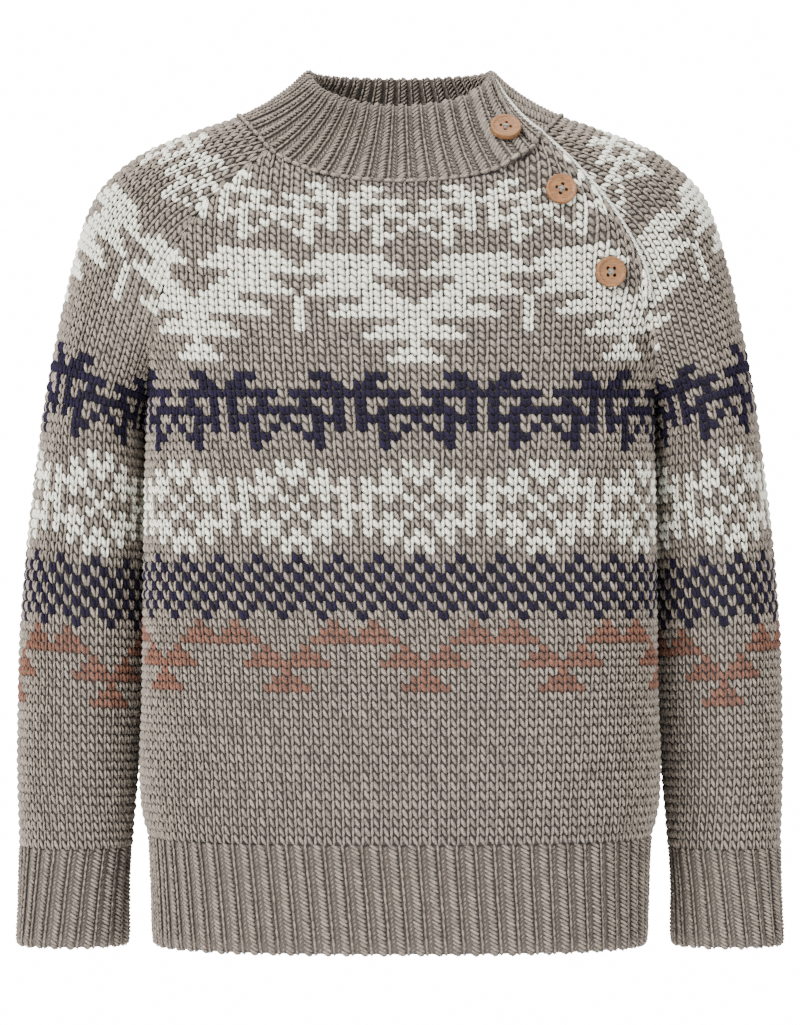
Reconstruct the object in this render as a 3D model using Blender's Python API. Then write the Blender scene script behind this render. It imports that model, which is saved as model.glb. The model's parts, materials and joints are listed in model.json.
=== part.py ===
"""A child's fair isle pullover, filled out as if worn: a hollow thin-walled garment.

Every knitted piece is one closed solid with the thickness of its cloth. The pieces
follow one set of driving tables in millimetres, with +X to the wearer's left, -Y to
the front and +Z up. The origin is inside the neck, where the wearer holds it up.
"""
import math

import bmesh
import bpy
import numpy as np
from mathutils import Vector
from mathutils.bvhtree import BVHTree

MM = 0.001

# Cloth
WALL = 3.0
COLLAR_WALL = 4.0
SEAM_GAP = 0.4
RIB_HEIGHT = 1.2

# Levels of the body and its rib
UNDERARM_LEVEL = -140.0
HEM_BOTTOM = -395.0
HEM_RIBS = 74

# Cuffs
CUFF_RIBS = 20

# The hollow that the arm presses into the side of the body
DENT_CENTRE = 4.0
DENT_WIDTH = 34.0

# Neckline
FRONT_NECK_COURSE = -21.0
COURSE_RISE_POWER = 2.2

# Collar
COLLAR_TOP_HALF_WIDTH = 46.0
COLLAR_TOP_HALF_DEPTH = 42.0
COLLAR_TOP_LEVEL = 40.0
COLLAR_TOP_DIP = 21.0
COLLAR_BASE_HALF_WIDTH = 80.0
COLLAR_BASE_HALF_DEPTH = 64.0
COLLAR_HOLLOW = 2.6
COLLAR_HOLLOW_PULL_DOWN = 40.0
COLLAR_RIBS = 46
COLLAR_SHARES = (0.0, 0.33, 0.66, 0.96)
COLLAR_SEAM_GAP = 0.6
CROWN_RISE = 0.38
CROWN_INSET = 0.28

# Buttoned opening on the wearer's left front raglan
LAP_END_STATION = 101.0
FLAT_STATION = 119.0
FLAP_LIFT = 4.3
COLLAR_FLAP_LIFT = 5.7
COLLAR_FLAP_WIDTH = 15.0
COLLAR_LAP_TURN = 15.0
LIFT_MARGIN = 5.0
LIFT_RAMP = 16.0
EDGING_RADIUS = 1.2
EDGING_SIDES = 6
EDGING_STEP = 3.5
EDGING_GAP = 0.5

# Buttons
BUTTON_DIAMETER = 15.0
BUTTON_THICKNESS = 3.2
BUTTON_RIM_WIDTH = 1.5
BUTTON_DISH = 0.7
BUTTON_BACK_ROUND = 1.4
BUTTON_BACK_RISE = 1.1
BUTTON_FRONT_DROP = 0.9
BUTTON_FRONT_ROUND = 0.8
BUTTON_HOLE_DIAMETER = 1.7
BUTTON_HOLE_SPACING = 2.9
BUTTON_HOLE_SIDES = 10
BUTTON_CLEARANCE = 0.5
CUTTER_REACH = 1.0
BUTTON_SIDES = 24
SEAT_RAYS = 36
SEAT_RADIUS = 6.8
FAR_FRONT = -200.0

# Mesh density
HALF_COLUMNS = 11
SLEEVE_COLUMNS = 20
DENSE = 160
SHIFT_POINTS = 8
SHARP_ANGLE = 50.0

# Points inside the body, collar and hem, from which their outer sides face away
BODY_MIDDLE = np.array((0.0, 0.0, -200.0))
COLLAR_MIDDLE = np.array((0.0, 0.0, 10.0))
HEM_MIDDLE = np.array((0.0, 0.0, HEM_BOTTOM))


class Table:
    """Rows of sizes with named columns, read by a smooth curve through them."""

    def __init__(self, columns, rows):
        data = np.array(rows, dtype=float)
        data = data[np.argsort(data[:, 0])]
        self.keys = data[:, 0]
        self.columns = {name: data[:, i] for i, name in enumerate(columns)}

    def read(self, name, key):
        return smooth_curve(self.keys, self.columns[name], key)


def smooth_curve(keys, values, key):
    """Cubic through the points, with slopes that never overshoot them."""
    step = np.diff(keys)
    slope = np.diff(values) / step
    tangent = np.zeros(len(keys))
    tangent[0] = slope[0]
    tangent[-1] = slope[-1]
    before = slope[:-1]
    after = slope[1:]
    same_way = before * after > 0
    mean = 2 * before * after / np.where(same_way, before + after, 1.0)
    tangent[1:-1] = np.where(same_way, mean, 0.0)
    key = np.asarray(key, dtype=float)
    i = np.clip(np.searchsorted(keys, key, side="right") - 1, 0, len(step) - 1)
    h = step[i]
    t = np.clip((key - keys[i]) / h, 0.0, 1.0)
    rise = (1 + 2 * t) * (1 - t) ** 2 * values[i] + t * t * (3 - 2 * t) * values[i + 1]
    bend = t * (1 - t) ** 2 * h * tangent[i] - t * t * (1 - t) * h * tangent[i + 1]
    return rise + bend


# One row for each course of a sleeve. The station is the way from the collar along the
# shoulder line. The seam is the front raglan, or under the arm the inner side. The outer
# point is the shoulder line. Reach is the half angle of the course round its middle.
SLEEVE = Table(
    ("station", "seam_x", "seam_z", "outer_x", "outer_z", "middle_y", "half_depth", "reach", "back_lift"),
    [
        (0, 64.5, -3.5, 81.0, 16.0, 0.0, 45.3, 70, 12.5),
        (21, 84.0, -19.5, 101.5, 9.0, 0.0, 48.0, 86, 10.0),
        (50, 103.0, -40.0, 128.0, -2.0, 0.5, 49.0, 90, 8.0),
        (83, 113.7, -64.0, 152.0, -24.0, 1.0, 46.5, 95, 5.0),
        (119, 121.0, -92.0, 163.5, -58.0, 2.0, 45.5, 112, 3.0),
        (156, 124.8, -116.0, 171.5, -94.0, 3.0, 45.5, 141, 1.0),
        (192, 127.3, -140.0, 178.0, -130.0, 4.0, 46.0, 180, 0.0),
        (224, 126.2, -170.0, 182.0, -161.0, 4.0, 43.0, 180, 0.0),
        (262, 125.6, -205.0, 186.5, -199.0, 4.0, 41.0, 180, 0.0),
        (319, 126.2, -260.0, 190.5, -256.0, 4.5, 36.0, 180, 0.0),
        (368, 131.0, -307.0, 191.2, -305.0, 4.0, 32.5, 180, 0.0),
        (411, 134.5, -348.0, 190.0, -348.0, 3.0, 28.5, 180, 0.0),
    ],
)
UNDERARM_STATION = 192.0

# The yoke's courses on the front and back, at the same stations of the raglan seam
YOKE = Table(
    ("station", "front_course", "front_y", "front_depth", "front_power",
     "back_course", "back_y", "back_depth", "back_power"),
    [
        (0, -12.5, -60.0, 62, 2.0, 3.0, 62.0, 62, 2.0),
        (21, -29.0, -67.5, 80, 2.0, -16.5, 71.0, 80, 2.0),
        (50, -49.0, -74.5, 110, 2.0, -39.5, 77.5, 110, 2.0),
        (83, -71.5, -80.8, 140, 2.05, -65.0, 80.5, 130, 2.05),
        (119, -97.0, -84.8, 118, 2.2, -92.0, 82.0, 108, 2.2),
        (156, -118.0, -86.4, 102, 2.45, -116.0, 82.3, 94, 2.45),
        (192, -140.0, -87.2, 91.2, 2.75, -140.0, 82.0, 78, 2.75),
    ],
)

# The body below the arms and its rib
BODY = Table(
    ("level", "half_width", "front_y", "back_y", "side_y", "power", "dent"),
    [
        (-140, 126.7, -87.2, 82.0, 4.0, 2.75, 0.0),
        (-152, 130.2, -87.5, 82.0, 4.0, 2.73, 5.5),
        (-170, 133.0, -87.9, 82.0, 4.0, 2.7, 10.0),
        (-200, 133.6, -88.6, 81.5, 3.5, 2.7, 11.5),
        (-260, 134.0, -90.0, 79.0, 2.5, 2.7, 11.5),
        (-300, 133.5, -89.5, 77.0, 1.0, 2.7, 7.0),
        (-322, 131.0, -86.5, 75.0, 0.0, 2.7, 3.0),
        (-336, 127.0, -82.5, 73.5, -1.0, 2.7, 0.5),
        (-342, 124.5, -80.0, 73.0, -2.0, 2.7, 0.0),
        (-395, 122.5, -79.0, 72.0, -3.0, 2.7, 0.0),
    ],
)

# A cuff's inner and outer sides, front and back
CUFF = Table(
    ("level", "inner_x", "outer_x", "front_y", "back_y"),
    [
        (-348, 135.0, 190.0, -25.0, 31.0),
        (-372, 136.0, 190.5, -25.0, 30.5),
        (-397, 136.0, 191.5, -25.0, 30.0),
    ],
)

# How far the wearer's left seam lies beyond the right one's mirror image, and how far
# the front's free edge then laps over the sleeve
OPENING = Table(
    ("station", "seam_shift", "lap"),
    [
        (0, 1.5, 7.0),
        (21, 0.5, 5.2),
        (50, 0.0, 3.8),
        (83, 0.8, 5.0),
        (92, 1.8, 4.5),
        (101, 3.6, 0.0),
        (119, 4.8, 0.0),
        (156, 3.0, 0.0),
        (192, 0.0, 0.0),
    ],
)

YOKE_STATIONS = (0, 10, 21, 35, 50, 66, 83, 92, 101, 119, 137, 156, 174, 192)
SLEEVE_STATIONS = YOKE_STATIONS + (208, 226, 250, 280, 312, 342, 368, 392, 411)
BODY_LEVELS = (-146, -153, -165, -188, -218, -250, -280, -304, -322, -333, -341.8)
HEM_LEVELS = (-342.2, -358, -395)
CUFF_LEVELS = (-348.4, -372, -397)

BUTTON_PLACES = (
    ("button_1", "collar", 51.6, 5.7),
    ("button_2", "front", 78.3, -24.2),
    ("button_3", "front", 101.8, -64.1),
)

WOOL = ("wool_taupe", (0.33, 0.285, 0.25, 1.0), 0.95)
WOOL_RIB = ("wool_taupe_rib", (0.31, 0.27, 0.235, 1.0), 0.95)
WOOL_EDGE = ("wool_cream", (0.75, 0.73, 0.68, 1.0), 0.95)
WOOD = ("wood_button", (0.46, 0.25, 0.13, 1.0), 0.5)


def clear_scene():
    for item in list(bpy.data.objects):
        bpy.data.objects.remove(item, do_unlink=True)


def make_material(spec):
    """A plain Principled material, made once for each finish."""
    name, colour, roughness = spec
    material = bpy.data.materials.get(name)
    if material is None:
        material = bpy.data.materials.new(name)
        material.use_nodes = True
        shader = material.node_tree.nodes["Principled BSDF"]
        shader.inputs["Base Color"].default_value = colour
        shader.inputs["Roughness"].default_value = roughness
        shader.inputs["Metallic"].default_value = 0.0
        material.diffuse_color = colour
    return material


def unit(vectors):
    vectors = np.asarray(vectors, dtype=float)
    length = np.linalg.norm(vectors, axis=-1, keepdims=True)
    return vectors / np.maximum(length, 1e-9)


def lengths_along(points):
    """Running length along a line of points, from its first one."""
    steps = np.linalg.norm(np.diff(points, axis=0), axis=1)
    return np.concatenate(([0.0], np.cumsum(steps)))


def at_lengths(points, wanted):
    """Points of a line at the wanted lengths along it."""
    along = lengths_along(points)
    return np.stack([np.interp(wanted, along, points[:, i]) for i in range(3)], axis=1)


def at_fractions(points, fractions):
    return at_lengths(points, np.asarray(fractions) * lengths_along(points)[-1])


def smooth_step(t):
    t = np.clip(t, 0.0, 1.0)
    return t * t * (3 - 2 * t)


def mirrored(points):
    return points * np.array((-1.0, 1.0, 1.0))


def sleeve_course(station):
    """The wearer's left sleeve at one station, from the front seam round to the back one."""
    read = {name: float(SLEEVE.read(name, station)) for name in SLEEVE.columns}
    reach = math.radians(read["reach"])
    angle = np.linspace(-reach, reach, DENSE)
    across_x = read["outer_x"] - read["seam_x"]
    across_z = read["outer_z"] - read["seam_z"]
    inward = (1 - np.cos(angle)) / (1 - math.cos(reach))
    lift = read["back_lift"] * smooth_step(angle / reach)
    x = read["outer_x"] - across_x * inward
    y = read["middle_y"] + read["half_depth"] * np.sin(angle)
    z = read["outer_z"] - across_z * inward + lift * inward
    return np.stack((x, y, z), axis=1)


def panel_half(side, middle, end, depth, power):
    """Half a course of a body panel, from its middle to its edge on the wearer's left.

    side is -1 on the front and 1 on the back. middle and end are the two end points.
    """
    drop = 1 - side * (middle[1] - end[1]) / depth
    drop = max(drop, 0.0)
    half_width = end[0] / (1 - drop**power) ** (1 / power)
    last = math.asin(min(1.0, (end[0] / half_width) ** (power / 2)))
    angle = np.linspace(0.0, last, DENSE)
    x = half_width * np.sin(angle) ** (2 / power)
    y = middle[1] - side * depth * (1 - np.abs(np.cos(angle)) ** (2 / power))
    z = middle[2] + (end[2] - middle[2]) * (x / end[0]) ** COURSE_RISE_POWER
    return np.stack((x, y, z), axis=1)


def yoke_half(side, station, with_shift):
    """Half a yoke course, run on over the sleeve by the wearer's left seam shift."""
    name = "front" if side < 0 else "back"
    course = sleeve_course(station)
    end = course[0] if side < 0 else course[-1]
    middle = (0.0, float(YOKE.read(name + "_y", station)), float(YOKE.read(name + "_course", station)))
    depth = float(YOKE.read(name + "_depth", station))
    power = float(YOKE.read(name + "_power", station))
    half = panel_half(side, middle, end, depth, power)
    if with_shift > 0:
        run = at_lengths(course, np.linspace(0.0, with_shift, SHIFT_POINTS))
        half = np.concatenate((half, run[1:]))
    return half


def body_half(side, level):
    """Half a body course below the arms, with the hollow pressed in by the arm."""
    read = {name: float(BODY.read(name, level)) for name in BODY.columns}
    front_back = read["front_y"] if side < 0 else read["back_y"]
    middle = (0.0, front_back, level)
    end = (read["half_width"], read["side_y"], level)
    depth = abs(front_back - read["side_y"])
    half = panel_half(side, middle, end, depth, read["power"])
    half[:, 0] -= read["dent"] * np.exp(-(((half[:, 1] - DENT_CENTRE) / DENT_WIDTH) ** 2))
    return half


def full_row(left_half, right_half):
    """A row from the wearer's right edge to the left one, evenly spaced on each half."""
    fractions = np.linspace(0.0, 1.0, HALF_COLUMNS + 1)
    left = at_fractions(left_half, fractions)
    right = mirrored(at_fractions(right_half, fractions))[::-1]
    return np.concatenate((right[:-1], left))


def panel_grid(side):
    """Outer points of the front or back, from the neckline down to the rib."""
    rows = []
    courses = []
    for station in YOKE_STATIONS:
        shift = 0.0
        if side < 0:
            shift = float(OPENING.read("seam_shift", station) + OPENING.read("lap", station))
        rows.append(full_row(yoke_half(side, station, shift), yoke_half(side, station, 0.0)))
        name = "front_course" if side < 0 else "back_course"
        courses.append(float(YOKE.read(name, station)))
    yoke = np.array(rows)
    if side < 0:
        yoke = shaped_neckline(yoke, np.array(courses))
    lower = [full_row(body_half(side, level), body_half(side, level)) for level in BODY_LEVELS]
    return np.concatenate((yoke, np.array(lower)))


def shaped_neckline(yoke, courses):
    """The yoke's rows drawn down at the middle, where the neckline cuts across the courses."""
    columns = yoke.shape[1]
    across = np.abs(np.linspace(-1.0, 1.0, columns))
    top = FRONT_NECK_COURSE + (courses[0] - FRONT_NECK_COURSE) * across**2
    shaped = np.empty_like(yoke)
    rising = courses[::-1]
    for j in range(columns):
        scale = (top[j] - UNDERARM_LEVEL) / (courses[0] - UNDERARM_LEVEL)
        wanted = UNDERARM_LEVEL + (courses - UNDERARM_LEVEL) * scale
        for axis in range(3):
            shaped[:, j, axis] = np.interp(wanted, rising, yoke[::-1, j, axis])
    return shaped


def grid_normals(grid, closed_rows=None):
    """Unit normals of a grid of points, outward from the garment's middle line."""
    down = np.gradient(grid, axis=0)
    across = np.gradient(grid, axis=1)
    if closed_rows is not None:
        wrap = grid[:, 1] - grid[:, -2]
        across[closed_rows, 0] = wrap[closed_rows]
        across[closed_rows, -1] = wrap[closed_rows]
    return unit(np.cross(across, down))


def facing_out(normals, grid, centre_line):
    """The normals, all turned away from the centre line's points."""
    outward = np.sum(normals * (grid - centre_line), axis=-1).sum()
    return normals if outward > 0 else -normals


def lift_flap(grid, normals):
    """Raise the front's left edge, so that its lap clears the sleeve under it."""
    lifted = grid.copy()
    for i, station in enumerate(YOKE_STATIONS):
        closing = (station - LAP_END_STATION) / (FLAT_STATION - LAP_END_STATION)
        amount = FLAP_LIFT * (1 - smooth_step(closing))
        lap = float(OPENING.read("lap", station))
        from_edge = lengths_along(grid[i][::-1])[::-1]
        ramp = 1 - smooth_step((from_edge - lap - LIFT_MARGIN) / LIFT_RAMP)
        lifted[i] += normals[i] * (amount * ramp)[:, None]
    return lifted


def sleeve_grid(left):
    """Outer points of a sleeve on the wearer's left; the right one is mirrored later."""
    rows = []
    for station in SLEEVE_STATIONS:
        course = sleeve_course(station)
        if left:
            shift = float(OPENING.read("seam_shift", station)) if station < UNDERARM_STATION else 0.0
            length = lengths_along(course)[-1]
            course = at_lengths(course, np.linspace(shift, length, DENSE))
        rows.append(at_fractions(course, np.linspace(0.0, 1.0, SLEEVE_COLUMNS + 1)))
    return np.array(rows)


def build_mesh(name, vertices, faces, finish):
    """A closed mesh object from points in millimetres."""
    mesh = bpy.data.meshes.new(name)
    mesh.from_pydata([tuple(point * MM) for point in vertices], [], faces)
    work = bmesh.new()
    work.from_mesh(mesh)
    bmesh.ops.triangulate(work, faces=[f for f in work.faces if len(f.verts) > 4])
    bmesh.ops.recalc_face_normals(work, faces=work.faces)
    if work.calc_volume(signed=True) < 0:
        bmesh.ops.reverse_faces(work, faces=work.faces)
    work.to_mesh(mesh)
    work.free()
    mesh.shade_smooth()
    mesh.set_sharp_from_angle(angle=math.radians(SHARP_ANGLE))
    mesh.materials.append(make_material(finish))
    item = bpy.data.objects.new(name, mesh)
    bpy.context.collection.objects.link(item)
    return item


def shell(name, outer, inner, closed_rows, finish):
    """A wall between two grids of points; closed rows join their last point to the first."""
    rows, columns = outer.shape[:2]
    vertices = []
    index = np.zeros((2, rows, columns), dtype=int)
    for layer, grid in enumerate((outer, inner)):
        for i in range(rows):
            for j in range(columns):
                if closed_rows[i] and j == columns - 1:
                    index[layer, i, j] = index[layer, i, 0]
                else:
                    index[layer, i, j] = len(vertices)
                    vertices.append(grid[i, j])
    faces = []
    for i in range(rows - 1):
        for j in range(columns - 1):
            for layer, turn in ((0, 1), (1, -1)):
                quad = (index[layer, i, j], index[layer, i, j + 1],
                        index[layer, i + 1, j + 1], index[layer, i + 1, j])
                faces.append(quad[::turn])
        if not (closed_rows[i] and closed_rows[i + 1]):
            for j in (0, columns - 1):
                faces.append((index[0, i, j], index[0, i + 1, j], index[1, i + 1, j], index[1, i, j]))
    for i in (0, rows - 1):
        for j in range(columns - 1):
            faces.append((index[0, i, j], index[0, i, j + 1], index[1, i, j + 1], index[1, i, j]))
    clean = []
    for face in faces:
        corners = [int(v) for v in dict.fromkeys(int(v) for v in face)]
        if len(corners) > 2:
            clean.append(tuple(corners))
    return build_mesh(name, vertices, clean, finish)


def main_grids():
    """Outer points and outward normals of the four main pieces, on shared seam points."""
    grids = {}
    for name, side in (("front", -1), ("back", 1)):
        grid = panel_grid(side)
        normals = facing_out(grid_normals(grid), grid, BODY_MIDDLE)
        grids[name] = [grid, normals]
    closed = np.array([station >= UNDERARM_STATION for station in SLEEVE_STATIONS])
    for name, left in (("sleeve_left", True), ("sleeve_right", False)):
        grid = sleeve_grid(left)
        normals = facing_out(grid_normals(grid, closed), grid, grid.mean(axis=1, keepdims=True))
        if not left:
            grid = mirrored(grid)
            normals = mirrored(normals)
        grids[name] = [grid, normals]
    return grids, closed


def raglan_seams(grids):
    """Bring each raglan edge to its shared normal and open the seam gap."""
    last = YOKE_STATIONS.index(UNDERARM_STATION)
    closed_from = YOKE_STATIONS.index(LAP_END_STATION)
    # body piece, its edge column and the next, sleeve, its edge column and the next, first row
    joins = (
        ("front", -1, -2, "sleeve_left", 0, 1, closed_from),
        ("front", 0, 1, "sleeve_right", 0, 1, 0),
        ("back", -1, -2, "sleeve_left", -1, -2, 0),
        ("back", 0, 1, "sleeve_right", -1, -2, 0),
    )
    for body, edge, inside, sleeve, sleeve_edge, sleeve_inside, first in joins:
        rows = slice(first, last)
        body_grid, body_normals = grids[body]
        sleeve_points, sleeve_normals = grids[sleeve]
        seam = body_grid[rows, edge].copy()
        normal = unit(body_normals[rows, edge] + sleeve_normals[rows, sleeve_edge])
        to_body = unit(body_grid[rows, inside] - seam)
        to_sleeve = unit(sleeve_points[rows, sleeve_inside] - seam)
        into = to_body - to_sleeve
        into = unit(into - normal * np.sum(into * normal, axis=-1, keepdims=True))
        body_grid[rows, edge] = seam + into * SEAM_GAP / 2
        sleeve_points[rows, sleeve_edge] = seam - into * SEAM_GAP / 2
        body_normals[rows, edge] = normal
        sleeve_normals[rows, sleeve_edge] = normal


def side_seams(grids):
    """Open the gap between front and back down each side."""
    first = YOKE_STATIONS.index(UNDERARM_STATION)
    for name, side in (("front", -1), ("back", 1)):
        grid, normals = grids[name]
        for column, outward in ((-1, 1.0), (0, -1.0)):
            grid[first:, column, 1] += side * SEAM_GAP / 2
            grid[first, column, 0] -= outward * SEAM_GAP
            normals[first:, column] = (outward, 0.0, 0.0)


def neck_line(grids):
    """The seam line of the collar, its normals and the pieces' shares of it.

    It runs from the front's free edge on the wearer's left, round by the wearer's right
    and the back, to the left sleeve's front edge.
    """
    order = (("front", -1), ("sleeve_right", 1), ("back", 1), ("sleeve_left", -1))
    points = [grids[name][0][0][::turn] for name, turn in order]
    normals = [grids[name][1][0][::turn] for name, turn in order]
    return order, points, normals


def collar_top(base):
    """The collar's top edge over each point of its base line."""
    turn = np.unwrap(np.arctan2(base[:, 0] / COLLAR_BASE_HALF_WIDTH, -base[:, 1] / COLLAR_BASE_HALF_DEPTH))
    turn += math.radians(COLLAR_LAP_TURN) * smooth_step(turn / turn[0])
    x = COLLAR_TOP_HALF_WIDTH * np.sin(turn)
    y = -COLLAR_TOP_HALF_DEPTH * np.cos(turn)
    z = COLLAR_TOP_LEVEL - COLLAR_TOP_DIP * np.maximum(0.0, np.cos(turn))
    return np.stack((x, y, z), axis=1)


def share_neck_normals(grids):
    """Give the collar and the pieces under it one normal along their seam."""
    order, points, normals = neck_line(grids)
    line = np.concatenate(points)
    rise = unit(collar_top(line) - line)
    along = np.gradient(line, axis=0)
    collar_normals = unit(np.cross(rise, along))
    if np.sum(collar_normals * line) < 0:
        collar_normals = -collar_normals
    shared = unit(collar_normals + np.concatenate(normals))
    start = 0
    for (name, turn), piece in zip(order, points):
        grids[name][1][0] = shared[start:start + len(piece)][::turn]
        start += len(piece)
    return line, shared


def collar_row(base, top, share):
    """One row of the collar part way up, drawn in by its hollow flare."""
    hollow = COLLAR_HOLLOW * 4 * share * (1 - share)
    inward = unit(np.stack((-base[:, 0], -base[:, 1], np.full(len(base), -COLLAR_HOLLOW_PULL_DOWN)), axis=1))
    return base * (1 - share) + top * share + inward * hollow


def make_collar(line, line_normals):
    """The ribbed funnel collar, one strip whose front end laps over its back end."""
    fractions = np.arange(2 * COLLAR_RIBS + 1) / (2 * COLLAR_RIBS)
    base = at_fractions(line, fractions)
    line_along = lengths_along(line)
    along = fractions * line_along[-1]
    base_normals = np.stack([np.interp(along, line_along, line_normals[:, i]) for i in range(3)], axis=1)
    base_normals = unit(base_normals)
    top = collar_top(base)
    rise = unit(top - base)
    start = COLLAR_SEAM_GAP / np.linalg.norm(top - base, axis=1)
    rows = []
    for fraction in COLLAR_SHARES:
        rows.append(collar_row(base, top, (start * (1 - fraction) + fraction)[:, None]))
    plain = np.array(rows)
    normals = facing_out(grid_normals(plain), plain, COLLAR_MIDDLE)
    normals[0] = base_normals
    lift = COLLAR_FLAP_LIFT * (1 - smooth_step((along - COLLAR_FLAP_WIDTH - LIFT_MARGIN) / LIFT_RAMP))
    ribs = np.where(np.arange(len(fractions)) % 2, RIB_HEIGHT / 2, -RIB_HEIGHT / 2)
    lifted = plain + normals * lift[:, None]
    outer = lifted + normals * ribs[:, None]
    inner = lifted - normals * COLLAR_WALL
    crown = rise * COLLAR_WALL * CROWN_RISE
    outer_crown = outer[-1] * (1 - CROWN_INSET) + inner[-1] * CROWN_INSET + crown
    inner_crown = outer[-1] * CROWN_INSET + inner[-1] * (1 - CROWN_INSET) + crown
    outer = np.concatenate((outer, outer_crown[None]))
    inner = np.concatenate((inner, inner_crown[None]))
    shell("collar", outer, inner, np.zeros(len(outer), dtype=bool), WOOL_RIB)
    return outer, inner


def make_edging(collar, front):
    """The cord bound along the opening's free edge, from the collar's top down."""
    collar_outer, collar_inner = collar
    front_outer, front_inner = front
    last = YOKE_STATIONS.index(LAP_END_STATION) + 1
    collar_edge = (collar_outer[:-1, 0] + collar_inner[:-1, 0])[::-1] / 2
    front_edge = (front_outer[:last, -1] + front_inner[:last, -1]) / 2
    edge = np.concatenate((collar_edge, front_edge))
    collar_outward = (collar_outer[:-1, 0] - collar_outer[:-1, 1])[::-1]
    outward = np.concatenate((collar_outward, front_outer[:last, -1] - front_outer[:last, -2]))
    heading = unit(np.gradient(edge, axis=0))
    outward = unit(outward - heading * np.sum(outward * heading, axis=-1, keepdims=True))
    line = edge + outward * (EDGING_RADIUS + EDGING_GAP)
    count = int(lengths_along(line)[-1] / EDGING_STEP)
    line = at_fractions(line, np.linspace(0.0, 1.0, count + 1))
    heading = unit(np.gradient(line, axis=0))
    side = unit(np.cross(heading, np.array((0.0, -1.0, 0.0))))
    up = np.cross(side, heading)
    rings = []
    for k in range(EDGING_SIDES):
        angle = 2 * math.pi * k / EDGING_SIDES
        rings.append(line + (side * math.cos(angle) + up * math.sin(angle)) * EDGING_RADIUS)
    vertices = [point for ring in np.array(rings).transpose(1, 0, 2) for point in ring]
    faces = []
    for i in range(count):
        for k in range(EDGING_SIDES):
            next_k = (k + 1) % EDGING_SIDES
            first = i * EDGING_SIDES
            second = first + EDGING_SIDES
            faces.append((first + k, first + next_k, second + next_k, second + k))
    faces.append(tuple(range(EDGING_SIDES)))
    faces.append(tuple(range(count * EDGING_SIDES, (count + 1) * EDGING_SIDES)))
    build_mesh("opening_edging", vertices, faces, WOOL_EDGE)


def ribbed_band(name, rows, normals, closed, finish):
    """A band with upright ribs raised in its outer points over a plain inside."""
    columns = rows.shape[1]
    ribs = np.where(np.arange(columns) % 2, RIB_HEIGHT / 2, -RIB_HEIGHT / 2)
    outer = rows + normals * ribs[None, :, None]
    inner = rows - normals * WALL
    shell(name, outer, inner, np.full(len(rows), closed), finish)


def make_hem():
    """The ribbed hem of the front and of the back."""
    fractions = np.linspace(0.0, 1.0, HEM_RIBS + 1)
    for name, side in (("hem_front", -1), ("hem_back", 1)):
        rows = []
        for level in HEM_LEVELS:
            half = body_half(side, level)
            row = np.concatenate((mirrored(half)[::-1], half[1:]))
            rows.append(at_fractions(row, fractions))
        rows = np.array(rows)
        normals = facing_out(grid_normals(rows), rows, HEM_MIDDLE)
        normals[:, :, 2] = 0.0
        normals[:, 0] = (-1.0, 0.0, 0.0)
        normals[:, -1] = (1.0, 0.0, 0.0)
        rows[:, (0, -1), 1] += side * SEAM_GAP / 2
        ribbed_band(name, rows, unit(normals), False, WOOL_RIB)


def make_cuffs():
    """The two ribbed cuffs, each a closed ring."""
    angle = np.linspace(0.0, 2 * math.pi, 2 * CUFF_RIBS + 1)
    for name, turn in (("cuff_left", 1.0), ("cuff_right", -1.0)):
        rows = []
        normals = []
        for level in CUFF_LEVELS:
            read = {column: float(CUFF.read(column, level)) for column in CUFF.columns}
            half_x = (read["outer_x"] - read["inner_x"]) / 2
            half_y = (read["back_y"] - read["front_y"]) / 2
            x = (read["outer_x"] + read["inner_x"]) / 2 + half_x * np.cos(angle)
            y = (read["back_y"] + read["front_y"]) / 2 + half_y * np.sin(angle)
            rows.append(np.stack((x * turn, y, np.full(len(angle), level)), axis=1))
            outward_x = np.cos(angle) / half_x * turn
            outward_y = np.sin(angle) / half_y
            normals.append(unit(np.stack((outward_x, outward_y, np.zeros(len(angle))), axis=1)))
        ribbed_band(name, np.array(rows), np.array(normals), True, WOOL_RIB)


def seat_on(item, x, z):
    """Where a button lies on a piece: its seat and the direction it faces."""
    graph = bpy.context.evaluated_depsgraph_get()
    tree = BVHTree.FromObject(item, graph)
    forward = Vector((0.0, 1.0, 0.0))
    hits = []
    for k in range(SEAT_RAYS):
        angle = 2 * math.pi * k / SEAT_RAYS
        start = Vector((x + SEAT_RADIUS * math.cos(angle), FAR_FRONT, z + SEAT_RADIUS * math.sin(angle))) * MM
        hit = tree.ray_cast(start, forward)[0]
        if hit is not None:
            hits.append(hit)
    centre = sum(hits, Vector()) / len(hits)
    facing = Vector()
    for k, hit in enumerate(hits):
        facing += (hit - centre).cross(hits[(k + 1) % len(hits)] - centre)
    facing.normalize()
    if facing.y > 0:
        facing.negate()
    middle = tree.ray_cast(Vector((x, FAR_FRONT, z)) * MM, forward)[0]
    height = max((hit - centre).dot(facing) for hit in hits + [middle])
    seat = middle - facing * (middle - centre).dot(facing) + facing * height
    return seat, facing


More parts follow.
